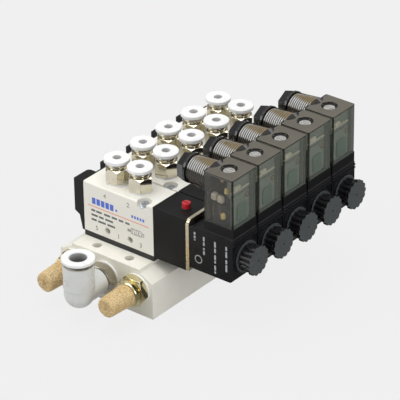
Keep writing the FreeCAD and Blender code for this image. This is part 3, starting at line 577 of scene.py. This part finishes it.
@dataclass(frozen=True)
class ThreadFinish(Finish):
    """Amber thread seen through the neck, with painted light: bright along each crest, painted shade in the grooves
    and on the underside, and a painted pale reflection along the shoulders.
    """

    start: float = 46.4
    pitch: float = 1.44
    axis: float = 91.3
    radius: float = 8.0
    rise: Pair = (0.36, 8.0)
    fall: Pair = (0.97, 10.0)
    crest_power: float = 1.6
    # Painted shade in the grooves and on the underside, and a painted pale reflection along the shoulders.
    painted_groove_shade: Colour = (0.03, 0.026, 0.02)
    painted_lower_shade: Colour = (0.07, 0.06, 0.045)
    painted_reflection: Colour = (0.86, 0.86, 0.84)

    def paint(self, graph: Graph, base: Socket) -> Socket:
        """Paints light and shade: painted shade away from the crests and on the underside, and a painted pale
        reflection along the shoulders.

        Args:
            graph: the material's nodes.
            base: the colour of the top.

        Returns:
            The colour.
        """
        place = graph.axes("Object")
        height = graph.calc("SUBTRACT", place["Z"], self.axis * MM)
        share = graph.calc("MULTIPLY", height, 1 / (self.radius * MM))
        # Between these two marks the shoulder gets the painted reflection; below them lies the painted shade.
        rise = graph.calc("MULTIPLY", graph.calc("SUBTRACT", share, self.rise[0]), self.rise[1], clamp=True)
        fall = graph.calc("MULTIPLY", graph.calc("SUBTRACT", self.fall[0], share), self.fall[1], clamp=True)
        shoulder = graph.calc("MULTIPLY", rise, fall)
        colour = graph.mixed(shoulder, graph.mixed(rise, self.painted_lower_shade, base), self.painted_reflection)
        along = graph.calc("SUBTRACT", place["X"], self.start * MM)
        turn = graph.calc("MULTIPLY", along, 2 * math.pi / (self.pitch * MM))
        crest = graph.calc("MULTIPLY_ADD", graph.calc("COSINE", turn), -0.5, 0.5)
        return graph.mixed(graph.calc("POWER", crest, self.crest_power), self.painted_groove_shade, colour)


@dataclass(frozen=True)
class FacedFinish(Finish):
    """Moulding whose flat end, the one that looks along +X, is paler than its flanks."""

    face: Colour = (0.062, 0.069, 0.072)
    face_lean: float = 0.9

    def paint(self, graph: Graph, base: Socket) -> Socket:
        """Returns the colour with the paler one where the normal's X is near 1."""
        return graph.mixed(graph.calc("GREATER_THAN", graph.axes("Normal")["X"], self.face_lean), base, self.face)


@dataclass(frozen=True)
class HollowFinish(Finish):
    """Moulding with painted shade: its holes and undersides darken where other surfaces stand close."""

    reach: float = 4.0
    hollow_shade: Colour = (0.30, 0.30, 0.31)
    hollow_shade_power: float = 1.3

    def paint(self, graph: Graph, base: Socket) -> Socket:
        """Returns the colour with painted shade where other surfaces stand close in front."""
        openness = graph.add("AmbientOcclusion", {"Distance": self.reach * MM}, samples=8)["AO"]
        return graph.mixed(graph.calc("POWER", openness, self.hollow_shade_power), self.hollow_shade, base)


# The edge colours in these finishes are painted highlights along rounded edges.
IVORY_PAINT = Finish(
    "ivory_paint", (0.84, 0.82, 0.74), (0.81, 0.79, 0.7), roughness=0.42, grain_size=0.8, grain_lift=0.006,
    rounding=0.35, edge=(0.9, 0.89, 0.84), edge_amount=3.0,
)
VALVE_PAINT = Finish("valve_paint", (0.85, 0.835, 0.765), (0.83, 0.81, 0.74), roughness=0.38, grain_size=0.7)
BLACK_MOULDING = Finish(
    "black_moulding", (0.006, 0.006, 0.0065), (0.009, 0.009, 0.0095), roughness=0.44, specular=0.2, grain_size=0.3,
    grain_lift=0.008, rounding=0.3, edge=(0.05, 0.056, 0.066), edge_amount=3.5,
)
SATIN_COIL = Finish(
    "satin_coil", (0.007, 0.007, 0.008), (0.01, 0.01, 0.011), roughness=0.34, specular=0.22, grain_size=0.25,
    grain_lift=0.006, edge=(0.04, 0.045, 0.054), edge_amount=3.5,
)
GLOSS_NUT = Finish(
    "gloss_nut", (0.006, 0.006, 0.006), (0.009, 0.009, 0.008), roughness=0.14, rough_swing=0.04, specular=0.45,
    edge=(0.08, 0.082, 0.08), edge_amount=3.0, coat=0.5,
)
COIL_NUT = FacedFinish(
    "coil_nut_moulding", (0.006, 0.006, 0.007), (0.009, 0.009, 0.01), roughness=0.3, specular=0.4, rounding=0.15,
    edge=(0.05, 0.055, 0.06), edge_amount=2.0, coat=0.2,
)
BLACK_RUBBER = Finish(
    "black_rubber", (0.02, 0.02, 0.02), (0.032, 0.032, 0.032), roughness=0.7, grain_size=0.2, grain_lift=0.01,
    rounding=0.15,
)
YELLOW_ZINC = Finish(
    "yellow_zinc", (0.7, 0.62, 0.42), (0.8, 0.74, 0.58), roughness=0.3, rough_swing=0.1, metallic=1.0, mottle_size=5.0,
    edge=(0.96, 0.94, 0.86), edge_amount=4.0,
)
ZINC_PLATE = Finish(
    "zinc_plate", (0.66, 0.72, 0.78), (0.9, 0.92, 0.94), roughness=0.16, metallic=0.7, rounding=0.12, mottle_size=1.5,
)
NICKEL_PLATE = Finish(
    "nickel_plate", (0.62, 0.575, 0.45), (0.7, 0.66, 0.545), roughness=0.09, rough_swing=0.03, metallic=1.0,
    rounding=0.2, mottle_size=6.0, edge=(0.95, 0.93, 0.88), edge_amount=2.0,
)
BRASS = Finish(
    "turned_brass", (0.78, 0.68, 0.38), (0.85, 0.77, 0.5), roughness=0.16, rough_swing=0.05, metallic=1.0,
    mottle_size=5.0, edge=(0.97, 0.92, 0.7), edge_amount=2.0,
)
SINTERED_BRONZE = SinteredFinish(
    "sintered_bronze", (0.73, 0.53, 0.24), (0.82, 0.65, 0.36), roughness=0.5, specular=0.4, grain_lift=0.2,
    rounding=0.0,
)
# The collars carry painted shade in their holes and under their flanges.
WHITE_COLLAR = HollowFinish(
    "white_collar", (0.83, 0.835, 0.82), (0.87, 0.87, 0.86), roughness=0.3, rounding=0.15, grain_lift=0.001,
    subsurface=0.1,
)
# The elbow collar's hole gets a wider, darker painted shade.
ELBOW_COLLAR = replace(WHITE_COLLAR, name="elbow_collar_white", rounding=0.2, reach=11.0, hollow_shade=(0.06, 0.06, 0.06))
PALE_ELBOW = Finish(
    "pale_elbow", (0.64, 0.65, 0.635), (0.68, 0.69, 0.675), roughness=0.3, rounding=0.4, grain_lift=0.002,
    subsurface=0.1,
)
WHITE_WASHER = Finish(
    "white_washer", (0.84, 0.84, 0.82), (0.88, 0.88, 0.86), roughness=0.5, rounding=0.2, subsurface=0.1,
)
SMOKED_SHELL = SmokedFinish(
    "smoked_shell", (0.05, 0.05, 0.043), (0.062, 0.06, 0.052), roughness=0.16, rough_swing=0.04, coat=0.3,
    coat_roughness=0.06, alpha=0.6, rounding=0.12, grain_lift=0.0,
)
SMOKED_LINER = Finish("smoked_liner", (0.11, 0.095, 0.07), (0.14, 0.12, 0.09), rounding=0.0)
RED_PIN = Finish("red_pin", (0.66, 0.02, 0.03), (0.74, 0.04, 0.05), roughness=0.32, coat=0.3)
GREEN_BOARD = Finish(
    "green_board", (0.22, 0.25, 0.2), (0.27, 0.29, 0.24), roughness=0.35, rounding=0.1, mottle_size=3.0,
)
GREEN_PART = Finish("green_part", (0.09, 0.165, 0.11), (0.13, 0.19, 0.14), rounding=0.1, mottle_size=4.0)
STEEL = Finish(
    "bright_steel", (0.72, 0.71, 0.68), (0.86, 0.85, 0.82), roughness=0.16, metallic=0.75, rounding=0.15,
    mottle_size=1.5,
)
ALUMINIUM = Finish(
    "turned_aluminium", (0.7, 0.7, 0.71), (0.78, 0.78, 0.79), roughness=0.28, metallic=1.0, rounding=0.15,
)
GREY_BLOCK = Finish("grey_block", (0.05, 0.05, 0.05), (0.07, 0.07, 0.065), roughness=0.5, rounding=0.3)
CREAM_PART = Finish("cream_part", (0.72, 0.66, 0.48), (0.8, 0.74, 0.56), roughness=0.35, rounding=0.2, mottle_size=3.0)
AMBER_THREAD = ThreadFinish(
    "amber_thread", (0.4, 0.29, 0.12), (0.48, 0.36, 0.17), roughness=0.3, rough_swing=0.04, rounding=0.0,
    grain_lift=0.0, mottle_size=6.0,
)
AMBER_LAMP = Finish("amber_lamp", (0.85, 0.62, 0.16), (0.92, 0.74, 0.3), roughness=0.15, rounding=0.1, coat=0.5)
COPPER_LEAD = Finish("copper_lead", (0.8, 0.42, 0.24), (0.86, 0.52, 0.32), roughness=0.25, metallic=1.0, rounding=0.0)
RED_INK = Finish("red_ink", (0.8, 0.16, 0.07), (0.84, 0.2, 0.09), roughness=0.5, rounding=0.0)
BLUE_INK = Finish("blue_ink", (0.07, 0.14, 0.6), (0.09, 0.17, 0.66), roughness=0.5, rounding=0.0)
DARK_INK = Finish("dark_ink", (0.1, 0.1, 0.1), (0.16, 0.16, 0.16), roughness=0.55, rounding=0.0)
PALE_INK = Finish("pale_ink", (0.36, 0.38, 0.4), (0.44, 0.46, 0.48), roughness=0.55, rounding=0.0)
RING_METAL = Finish("ring_metal", (0.4, 0.37, 0.3), (0.52, 0.48, 0.4), roughness=0.15, metallic=1.0, rounding=0.15)

NODE_FINISHES: dict[str, Finish] = {
    name: finish
    for finish, names in (
        (IVORY_PAINT, "manifold"),
        (VALVE_PAINT, "valve_bodies"),
        (BLACK_MOULDING, "end_caps pilot_heads plug_bases"),
        (SATIN_COIL, "coils"),
        (GLOSS_NUT, "gland_nuts"),
        (COIL_NUT, "coil_nuts"),
        (BLACK_RUBBER, "station_gaskets override_rings plug_gaskets gland_seals"),
        (YELLOW_ZINC, "yoke_plates"),
        (ZINC_PLATE, "hold_down_screws end_screws"),
        (NICKEL_PLATE, "fitting_bodies"),
        (BRASS, "silencer_hexes"),
        (SINTERED_BRONZE, "silencer_elements"),
        (WHITE_COLLAR, "collar_a collar_b"),
        (ELBOW_COLLAR, "elbow_collar"),
        (PALE_ELBOW, "elbow_body"),
        (RING_METAL, "elbow_stud elbow_ring"),
        (WHITE_WASHER, "port_washers"),
        (SMOKED_SHELL, "plug_covers"),
        (GREY_BLOCK, "terminal_blocks"),
        (GREEN_BOARD, "indicator_boards"),
        (RED_PIN, "override_pin"),
        (ALUMINIUM, "spool"),
        (STEEL, "channel_plugs core_tubes plug_screws return_springs armature override_spring"),
    )
    for name in names.split()
}


def dress_nodes() -> None:
    """Gives every solid its finish; a numbered node takes the one named without its number."""
    for name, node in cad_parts.items():
        finish = NODE_FINISHES.get(name) or NODE_FINISHES[name.rsplit("_", 1)[0]]
        mesh = node.data
        mesh.materials.clear()
        mesh.materials.append(finish.material())
        mesh.polygons.foreach_set("material_index", np.zeros(len(mesh.polygons), np.int32))
        log.info("%s: %s", name, finish.name)


# Sub-assemblies


@dataclass(frozen=True)
class Row:
    """The row of valves along Y, in millimetres."""

    count: int = 5
    pitch: float = 23.0
    face: float = -11.0

    def middles(self) -> list[float]:
        """Returns the middle of each valve along Y."""
        return [(index - (self.count - 1) / 2) * self.pitch for index in range(self.count)]

    def add(self, name: str, parts: list[Surface], finish: Finish) -> None:
        """Adds one piece with the same parts at every valve."""
        row = joined([part.moved(y=middle) for middle in self.middles() for part in parts])
        add_piece(row.mesh(name), finish)

    def ink(self, outlines: list[np.ndarray]) -> list[Surface]:
        """Returns outlines as thin print on the side of the valve in the middle."""
        return [slab(outline, 1, self.face - INK, self.face + INK) for outline in outlines]


@dataclass
class ValvePrint:
    """Plain print on the side of each valve body: a red line, fields of blue and dark, numbers and a symbol."""

    row: Row = Row()
    line: tuple[float, float, float, float, float] = (-22.3, 49.95, 22.0, 49.95, 0.45)
    blue_fields: tuple[tuple[tuple[float, ...], float, float, float, float], ...] = (
        ((-19.2, -15.9, -12.6, -9.3, -6.0), 2.6, 51.6, 55.6, 0.35),
        ((-2.2,), 1.6, 52.0, 53.6, 0.8),
        ((9.6, 11.6, 13.6, 15.6, 17.6), 1.3, 52.2, 54.0, 0.2),
    )
    bars: tuple[tuple[float, Profile], ...] = (
        (47.3, ((-20.0, -17.0), (-16.3, -12.2), (-10.6, -6.0), (-4.9, -1.0), (0.2, 3.6), (5.0, 8.2))),
        (44.3, ((-20.0, -15.2), (-14.4, -10.9), (-9.8, -4.0))),
        (41.3, ((-20.0, -16.2), (-15.1, -9.4), (-8.3, -2.6))),
    )
    bar_half: float = 0.65
    symbol_left: float = 9.2
    symbol_span: Pair = (41.9, 45.3)
    symbol_side: float = 3.6
    symbol_width: float = 0.28
    figures: tuple[tuple[str, float, float], ...] = (
        ("4", -9.7, 59.2), ("2", 7.3, 59.2), ("5", -16.2, 36.3), ("1", -0.2, 36.3), ("3", 16.0, 36.3),
    )
    figure_size: float = 4.05

    def symbol(self) -> list[np.ndarray]:
        """Outlines two squares side by side with their flow lines, a spring on the left and a coil on the right.

        Returns:
            The strokes.
        """
        (low, high), side = self.symbol_span, self.symbol_side
        right, foot, head = 2 * side, low + 0.5, high - 0.9
        lines = [(side * column, low, side * column, high) for column in range(3)]
        lines += [(0.0, z, right, z) for z in (low, high)]
        lines += [(0.9, low, 0.9, high), (1.8, high, 2.8, low)]
        lines += [(side + 0.9, low, side + 2.6, high), (side + 2.6, low, side + 0.9, high)]
        for x in (-0.8, -1.6, -2.4):
            lines += [(x, foot, x + 0.8, head), (x, foot, x, head)]
        lines += [(right, z, right + 2.0, z) for z in (foot, head)]
        lines += [(right + 2.0, foot, right + 2.0, head), (right + 0.4, foot + 0.1, right + 1.5, head - 0.1)]
        left, width = self.symbol_left, self.symbol_width
        return [stroke(left + x0, z0, left + x1, z1, width) for x0, z0, x1, z1 in lines]

    def build_figures(self) -> None:
        """Adds the plain port numbers, each a flat numeral carried through the thickness of the print."""
        depsgraph = bpy.context.evaluated_depsgraph_get()
        scale, upright = Matrix.Scale(MM, 4), Matrix.Rotation(math.pi / 2, 4, "X")
        shape = bmesh.new()
        for character, x, z in self.figures:
            text = bpy.data.curves.new("figure", "FONT")
            text.body, text.align_x, text.align_y = character, "CENTER", "CENTER"
            text.size, text.extrude = self.figure_size, INK
            holder = bpy.data.objects.new("figure", text)
            mesh = bpy.data.meshes.new_from_object(holder.evaluated_get(depsgraph))
            bpy.data.objects.remove(holder)
            bpy.data.curves.remove(text)
            for middle in self.row.middles():
                copy = mesh.copy()
                copy.transform(scale @ Matrix.Translation((x, self.row.face + middle, z)) @ upright)
                shape.from_mesh(copy)
                bpy.data.meshes.remove(copy)
            bpy.data.meshes.remove(mesh)
        made = bpy.data.meshes.new("port_numbers")
        shape.to_mesh(made)
        shape.free()
        add_piece(made, DARK_INK)

    def build(self) -> None:
        """Adds all the print of the valve bodies."""
        half = self.bar_half
        bars = [slab_outline(x0, z - half, x1, z + half, BAR_CORNER) for z, spans in self.bars for x0, x1 in spans]
        blue = [slab_outline(x, z0, x + width, z1, r) for starts, width, z0, z1, r in self.blue_fields for x in starts]
        self.row.add("valve_line", self.row.ink([stroke(*self.line)]), RED_INK)
        self.row.add("valve_blue_print", self.row.ink(blue), BLUE_INK)
        self.row.add("valve_dark_print", self.row.ink([*bars, *self.symbol()]), DARK_INK)
        self.build_figures()


@dataclass
class CoilPrint:
    """Plain print on the side of each coil: columns of short pale bars that run down it, and a ring."""

    row: Row = Row()
    bar_half: float = 0.6
    columns: tuple[tuple[float, tuple[float, ...]], ...] = (
        (54.9, (58.9, 57.2, 56.6, 54.9, 54.3, 53.6)),
        (61.3, (58.0, 55.2, 54.6, 52.3, 51.0, 49.6, 49.0, 46.6)),
        (69.1, (57.6, 54.0, 53.4, 50.6, 49.2, 46.0, 45.4, 43.9, 42.5, 39.4, 38.8, 37.4)),
        (76.9, (57.2, 54.6, 54.0, 50.2, 48.8, 46.3, 45.7, 41.2)),
    )
    mark: Place = (57.4, 42.4, 2.6)
    mark_width: float = 0.55

    def build(self) -> None:
        """Adds the columns of bars and the plain ring below the first of them."""
        half = self.bar_half
        bars = [
            slab_outline(x - half, low, x + half, top, BAR_CORNER)
            for x, ends in self.columns
            for top, low in zip(ends[::2], ends[1::2])
        ]
        x, z, outer = self.mark
        inner = outer - self.mark_width
        ring = revolved(((outer, -INK), (inner, -INK), (inner, INK), (outer, INK)), 40, ring=True)
        ring = Surface(ring.points[:, [0, 2, 1]], ring.faces).moved(x, self.row.face, z)
        self.row.add("coil_print", [*self.row.ink(bars), ring], PALE_INK)


@dataclass
class PlugInside:
    """What shows through the smoked cover: the parts on the board and the threads in the gland's neck."""

    row: Row = Row()
    neck_start: float = 46.4
    neck_end: float = 60.8
    neck_axis: float = 91.3
    bore_radius: float = 4.5
    thread_count: int = 10
    thread_radii: Pair = (7.5, 8.8)
    thread_depth: float = 0.3
    thread_clearance: float = 0.1
    cavity_low: Place = (62.5, -9.0, 68.8)
    cavity_high: Place = (79.7, 9.0, 97.1)
    seat_x: float = 70.8
    seat_half: float = 5.0
    skin: float = 0.25
    carrier: Box = ((77.3, -8.6, 86.3), (77.6, 8.6, 96.4))
    green_part: Lump = ((1.1, 8.6, 10.4), 0.35, (79.05, 0.4, 75.2))
    seal: Profile = ((3.45, 0.0), (4.76, 0.0), (4.76, 2.2), (4.5, 2.2), (4.4, 0.8), (3.45, 0.7))
    seal_z: float = 95.82
    relay: Lump = ((3.2, 3.0, 3.8), 0.16, (66.4, -7.2, 83.9))
    button: Lump = ((4.2, 2.6, 4.4), 0.5, (70.4, -7.2, 83.2))
    dome: Lump = ((2.0, 5.4, 2.6), 0.5, (78.6, -3.4, 91.4))
    shelf: Lump = ((1.4, 15.6, 0.5), 0.2, (78.9, -1.0, 89.9))
    lamp: Profile = ((0.0, -1.6), (1.5, -1.6), (1.5, 0.2), (1.3, 1.0), (0.8, 1.5), (0.0, 1.7))
    lamp_places: tuple[Place, ...] = ((74.9, -7.4, 90.2), (72.4, -7.6, 73.8))
    lead: Profile = ((0.0, -3.5), (0.28, -3.5), (0.28, 3.5), (0.0, 3.5))
    lead_places: tuple[Place, ...] = ((66.0, -8.2, 76.0), (70.8, -8.2, 77.0))
    ring: Profile = ((1.25, -0.25), (1.6, -0.25), (1.6, 0.25), (1.25, 0.25))
    ring_place: Place = (79.4, 4.6, 84.3)
    tab: Box = ((72.0, -9.0, 95.4), (73.6, -8.6, 96.7))

    def liner(self) -> list[Surface]:
        """Makes a thin dark skin inside the two far walls and round the screw seat under the roof.

        Returns:
            The plates of the skin.
        """
        (x0, y0, z0), (x1, y1, z1) = self.cavity_low, self.cavity_high
        seat0, seat1 = self.seat_x - self.seat_half, self.seat_x + self.seat_half
        roof = z1 - self.skin
        plates = (
            (x0, y0, seat0, y1), (seat1, y0, x1, y1),
            (seat0, y0, seat1, -self.seat_half), (seat0, self.seat_half, seat1, y1),
        )
        return [
            block((x0, y0, z0), (x0 + self.skin, y1, self.neck_axis - self.bore_radius)),
            block((x0 + self.skin, y1 - self.skin, z0), (x1, y1, roof)),
            *(block((left, front, roof), (right, back, z1)) for left, front, right, back in plates),
        ]

    def thread(self) -> Surface:
        """Makes the ridges inside the gland's neck as one wavy tube: the radius swings with the place.

        Returns:
            The closed tube.
        """
        share = np.linspace(0, 1, self.thread_count * 8 + 1)
        wave = 0.5 - 0.5 * np.cos(2 * math.pi * self.thread_count * share)
        first, last = self.thread_radii
        outer = first + (last - first) * share - self.thread_depth * (1 - wave)
        along = self.neck_start + (self.neck_end - self.neck_start) * share
        inner = self.bore_radius + self.thread_clearance
        profile = (*zip(outer, along), (inner, self.neck_end), (inner, self.neck_start))
        return revolved(profile, 56, ring=True).laid().moved(z=self.neck_axis)

    def build(self) -> None:
        """Adds everything inside the plugs."""
        seal = revolved(self.seal, 48, ring=True).moved(self.seat_x, 0.0, self.seal_z)
        cream = [pillow(*part) for part in (self.relay, self.button, self.dome, self.shelf)]
        lamps = [revolved(self.lamp, 24).moved(*place) for place in self.lamp_places]
        ring = revolved(self.ring, 28, ring=True).laid().moved(*self.ring_place)
        leads = [revolved(self.lead, 12).moved(*place) for place in self.lead_places]
        self.row.add("plug_liners", self.liner(), SMOKED_LINER)
        self.row.add("board_carriers", [block(*self.carrier)], GREEN_BOARD)
        self.row.add("green_parts", [pillow(*self.green_part)], GREEN_PART)
        self.row.add("screw_seals", [seal], BLACK_RUBBER)
        self.row.add("cream_parts", cream, CREAM_PART)
        self.row.add("amber_lamps", lamps, AMBER_LAMP)
        self.row.add("copper_leads", [ring, *leads, block(*self.tab)], COPPER_LEAD)
        self.row.add("gland_threads", [self.thread()], AMBER_THREAD)


@dataclass
class Silencers:
    """The two sintered elements, with the grains that stand out of their surface."""

    columns: Pair = (-22.4, 22.4)
    first_seed: int = 3
    axis_height: float = 16.7
    root_y: float = -79.0
    tip_y: float = -96.45
    root_radius: float = 6.65
    tip_radius: float = 5.85
    tip_round: float = 1.3
    seat_depth: float = 5.0
    seat_radius: float = 4.95
    grain: float = 0.14
    steps_round: int = 150
    steps_along: int = 84
    face_rings: int = 15
    crease: float = 80.0

    def element(self, seed: int) -> Surface:
        """Makes one element: a cone of revolution along -Y whose radius is lifted by smoothed random grains.

        Args:
            seed: of the grains.

        Returns:
            The closed surface round the Y axis.
        """
        length = self.root_y - self.tip_y
        share = np.linspace(0, 1, self.steps_along)
        turn_in = np.clip(1 - (1 - share) * length / self.tip_round, 0, 1)
        radius = self.root_radius + (self.tip_radius - self.root_radius) * share
        radius -= self.tip_round * (1 - np.sqrt(np.clip(1 - turn_in**2, 0, 1)))
        face = np.linspace(1, 0, self.face_rings + 1)[1:]
        seat = [0.0, self.seat_radius, self.seat_radius]
        radius = np.concatenate([seat, radius, radius[-1] * face])[:, None]
        depths = [-self.seat_depth, -self.seat_depth, 0.0]
        along = np.concatenate([depths, share * length, np.full(self.face_rings, length)])[:, None]
        noise = np.random.default_rng(seed).random((len(radius), self.steps_round))
        for axis in (1, 0):
            noise = (noise + np.roll(noise, 1, axis) + np.roll(noise, -1, axis)) / 3
        lift = (noise - noise.mean()) / noise.std() * self.grain / 2
        lift[: len(seat)] = 0
        lift[-1] = lift[-1].mean()
        front = np.zeros_like(lift)
        front[1 - self.face_rings :] = -lift[1 - self.face_rings :]
        angle = np.linspace(0, 2 * math.pi, self.steps_round, endpoint=False)[None, :]
        reach = np.clip(radius + np.where(front != 0, 0, lift), 0, None) * (radius > 0)
        return grid(np.stack([reach * np.cos(angle), front - along, reach * np.sin(angle)], axis=-1))

    def build(self) -> None:
        """Adds both elements in place of their plain solids."""
        seeds = enumerate(self.columns, start=self.first_seed)
        parts = [self.element(seed).moved(x, self.root_y, self.axis_height) for seed, x in seeds]
        piece = add_piece(joined(parts).mesh("sintered_elements"), SINTERED_BRONZE, self.crease)
        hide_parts("silencer_elements")


# Studio


@dataclass(frozen=True)
class Lamp:
    """A soft rectangular lamp that looks at a point. Lengths are in metres."""

    name: str
    place: Place
    width: float
    height: float
    power: float
    target: Place = (0.0, 0.0, 0.04)

    def build(self) -> None:
        """Adds the lamp."""
        light = bpy.data.lights.new(self.name, "AREA")
        light.shape = "RECTANGLE"
        light.size, light.size_y, light.energy = self.width, self.height, self.power
        holder = linked(self.name, light)
        holder.location = self.place
        holder.rotation_euler = (Vector(self.target) - Vector(self.place)).to_track_quat("-Z", "Y").to_euler()


@dataclass
class Studio:
    """Pale floor, pale world, soft lamps and the camera at the photograph's angle. Lengths are in metres.

    What shines sees dark cards stood round the object: bands of the world by the height of the ray.
    """

    camera_place: Place = (0.88524, -1.08476, 0.82953)
    camera_azimuth: float = 38.795
    camera_elevation: float = 29.596
    camera_roll: float = -0.801
    lens: float = 250.6
    sensor: float = 36.0
    clip: Pair = (0.05, 50.0)
    floor_size: float = 12.0
    floor_steps: int = 9
    floor_colour: Colour = (0.55, 0.55, 0.55)
    shown_colour: Colour = (0.885, 0.885, 0.885)
    shown_share: float = 0.93
    mirrored_tones: Pair = (0.95, 0.16)
    mirrored_reach: float = 0.10
    world_strength: float = 0.72
    sky: tuple[tuple[float, Colour], ...] = (
        (0.48, (0.30, 0.30, 0.31)), (0.62, (0.72, 0.72, 0.73)), (1.0, (1.0, 1.0, 1.0)),
    )
    cards: Profile = (
        (0.0, 0.25), (0.46, 0.9), (0.505, 0.04), (0.60, 0.05), (0.63, 1.0), (0.70, 1.0), (0.74, 0.12), (0.82, 1.0),
    )
    lamps: tuple[Lamp, ...] = (
        Lamp("key_lamp", (-0.87, -1.08, 0.80), 0.9, 0.7, 5.0),
        Lamp("top_lamp", (-0.1, -0.2, 1.6), 1.2, 1.2, 12.5),
        Lamp("fill_lamp", (1.5, -0.3, 0.6), 0.9, 0.6, 7.5),
        Lamp("back_lamp", (0.2, 1.5, 1.1), 1.2, 0.5, 4.0),
    )

    def build_camera(self) -> None:
        """Adds the camera, turned by its azimuth, elevation and roll."""
        camera = bpy.data.cameras.new("camera")
        camera.lens, camera.sensor_width = self.lens, self.sensor
        camera.clip_start, camera.clip_end = self.clip
        azimuth, elevation = math.radians(self.camera_azimuth), math.radians(self.camera_elevation)
        level = math.cos(elevation)
        ahead = Vector((-math.sin(azimuth) * level, math.cos(azimuth) * level, -math.sin(elevation)))
        roll = Matrix.Rotation(math.radians(self.camera_roll), 3, "Z")
        holder = linked("camera", camera)
        holder.location = self.camera_place
        holder.rotation_mode = "QUATERNION"
        holder.rotation_quaternion = (ahead.to_track_quat("-Z", "Y").to_matrix() @ roll).to_quaternion()
        bpy.context.scene.camera = holder

    def ramp(self, graph: Graph, stops: tuple[tuple[float, Colour], ...]) -> Socket:
        """Colours the world by the height of the ray, from 0 straight down to 1 straight up.

        Args:
            graph: the world's nodes.
            stops: heights and their colours.

        Returns:
            The colour.
        """
        height = graph.calc("MULTIPLY_ADD", graph.axes("Generated")["Z"], 0.5, 0.5)
        colour = graph.add("ValToRGB", {"Fac": height})["Color"]
        elements = colour.node.color_ramp.elements
        for index, (place, tone) in enumerate(stops):
            stop = elements[index] if index < 2 else elements.new(place)
            stop.position, stop.color = place, (*tone, 1.0)
        return colour

    def build_world(self) -> None:
        """Adds a world that is flat and pale where it is seen, and lights softly from above elsewhere."""
        world = bpy.data.worlds.new("studio_world")
        graph = Graph.emptied(world)
        seen = graph.add("LightPath")
        cards = self.ramp(graph, tuple((height, (tone,) * 3) for height, tone in self.cards))
        colour = graph.mixed(seen["Is Glossy Ray"], self.ramp(graph, self.sky), cards)
        soft = graph.add("Background", {"Color": colour, "Strength": self.world_strength})
        shown = graph.add("Background", {"Color": self.shown_colour})
        direct = graph.most(seen["Is Camera Ray"], seen["Is Transmission Ray"])
        surface = graph.blend(direct, soft["Background"], shown["Background"])
        graph.add("OutputWorld", {"Surface": surface})
        bpy.context.scene.world = world

    def build_floor(self) -> None:
        """Adds the floor on which the object stands: a flat grid."""
        half = self.floor_size / 2 / MM
        across = np.linspace(-half, half, self.floor_steps)
        points = np.stack([*np.meshgrid(across, across), np.zeros((self.floor_steps,) * 2)], axis=-1)
        mesh = grid(points, wrap_columns=False).mesh("floor")
        mesh.materials.append(self.floor_material())
        linked("floor", mesh)

    def floor_material(self) -> Material:
        """Makes a matt floor that shows the camera mostly its own flat tone, and only faint shadows.

        What shines mirrors another tone in its place, pale on the left and dark on the right.

        Returns:
            The material.
        """
        material = bpy.data.materials.new("studio_floor")
        graph = Graph.emptied(material)
        seen = graph.add("LightPath")
        lit = graph.add("BsdfDiffuse", {"Color": self.floor_colour})["BSDF"]
        flat = graph.add("Emission", {"Color": self.shown_colour})["Emission"]
        plain = graph.blend(graph.calc("MULTIPLY", seen["Is Camera Ray"], self.shown_share), lit, flat)
        across = graph.calc("MULTIPLY", graph.axes("Object")["X"], 1 / self.mirrored_reach)
        tone = graph.ranged(graph.calc("ADD", across, 0.5, clamp=True), *self.mirrored_tones)
        mirrored = graph.add("Emission", {"Strength": tone})["Emission"]
        surface = graph.blend(seen["Is Glossy Ray"], plain, mirrored)
        graph.add("OutputMaterial", {"Surface": surface})
        return material

    def build(self) -> None:
        """Adds the whole studio."""
        self.build_camera()
        self.build_world()
        self.build_floor()
        for lamp in self.lamps:
            lamp.build()
        bpy.context.scene.view_settings.view_transform = "Standard"


def main() -> None:
    """Builds the studio, the finishes and the fine pieces."""
    logging.basicConfig(level=logging.INFO, format="%(name)s: %(message)s")
    Studio().build()
    dress_nodes()
    ValvePrint().build()
    CoilPrint().build()
    PlugInside().build()
    Silencers().build()


if __name__ == "__main__":
    main()
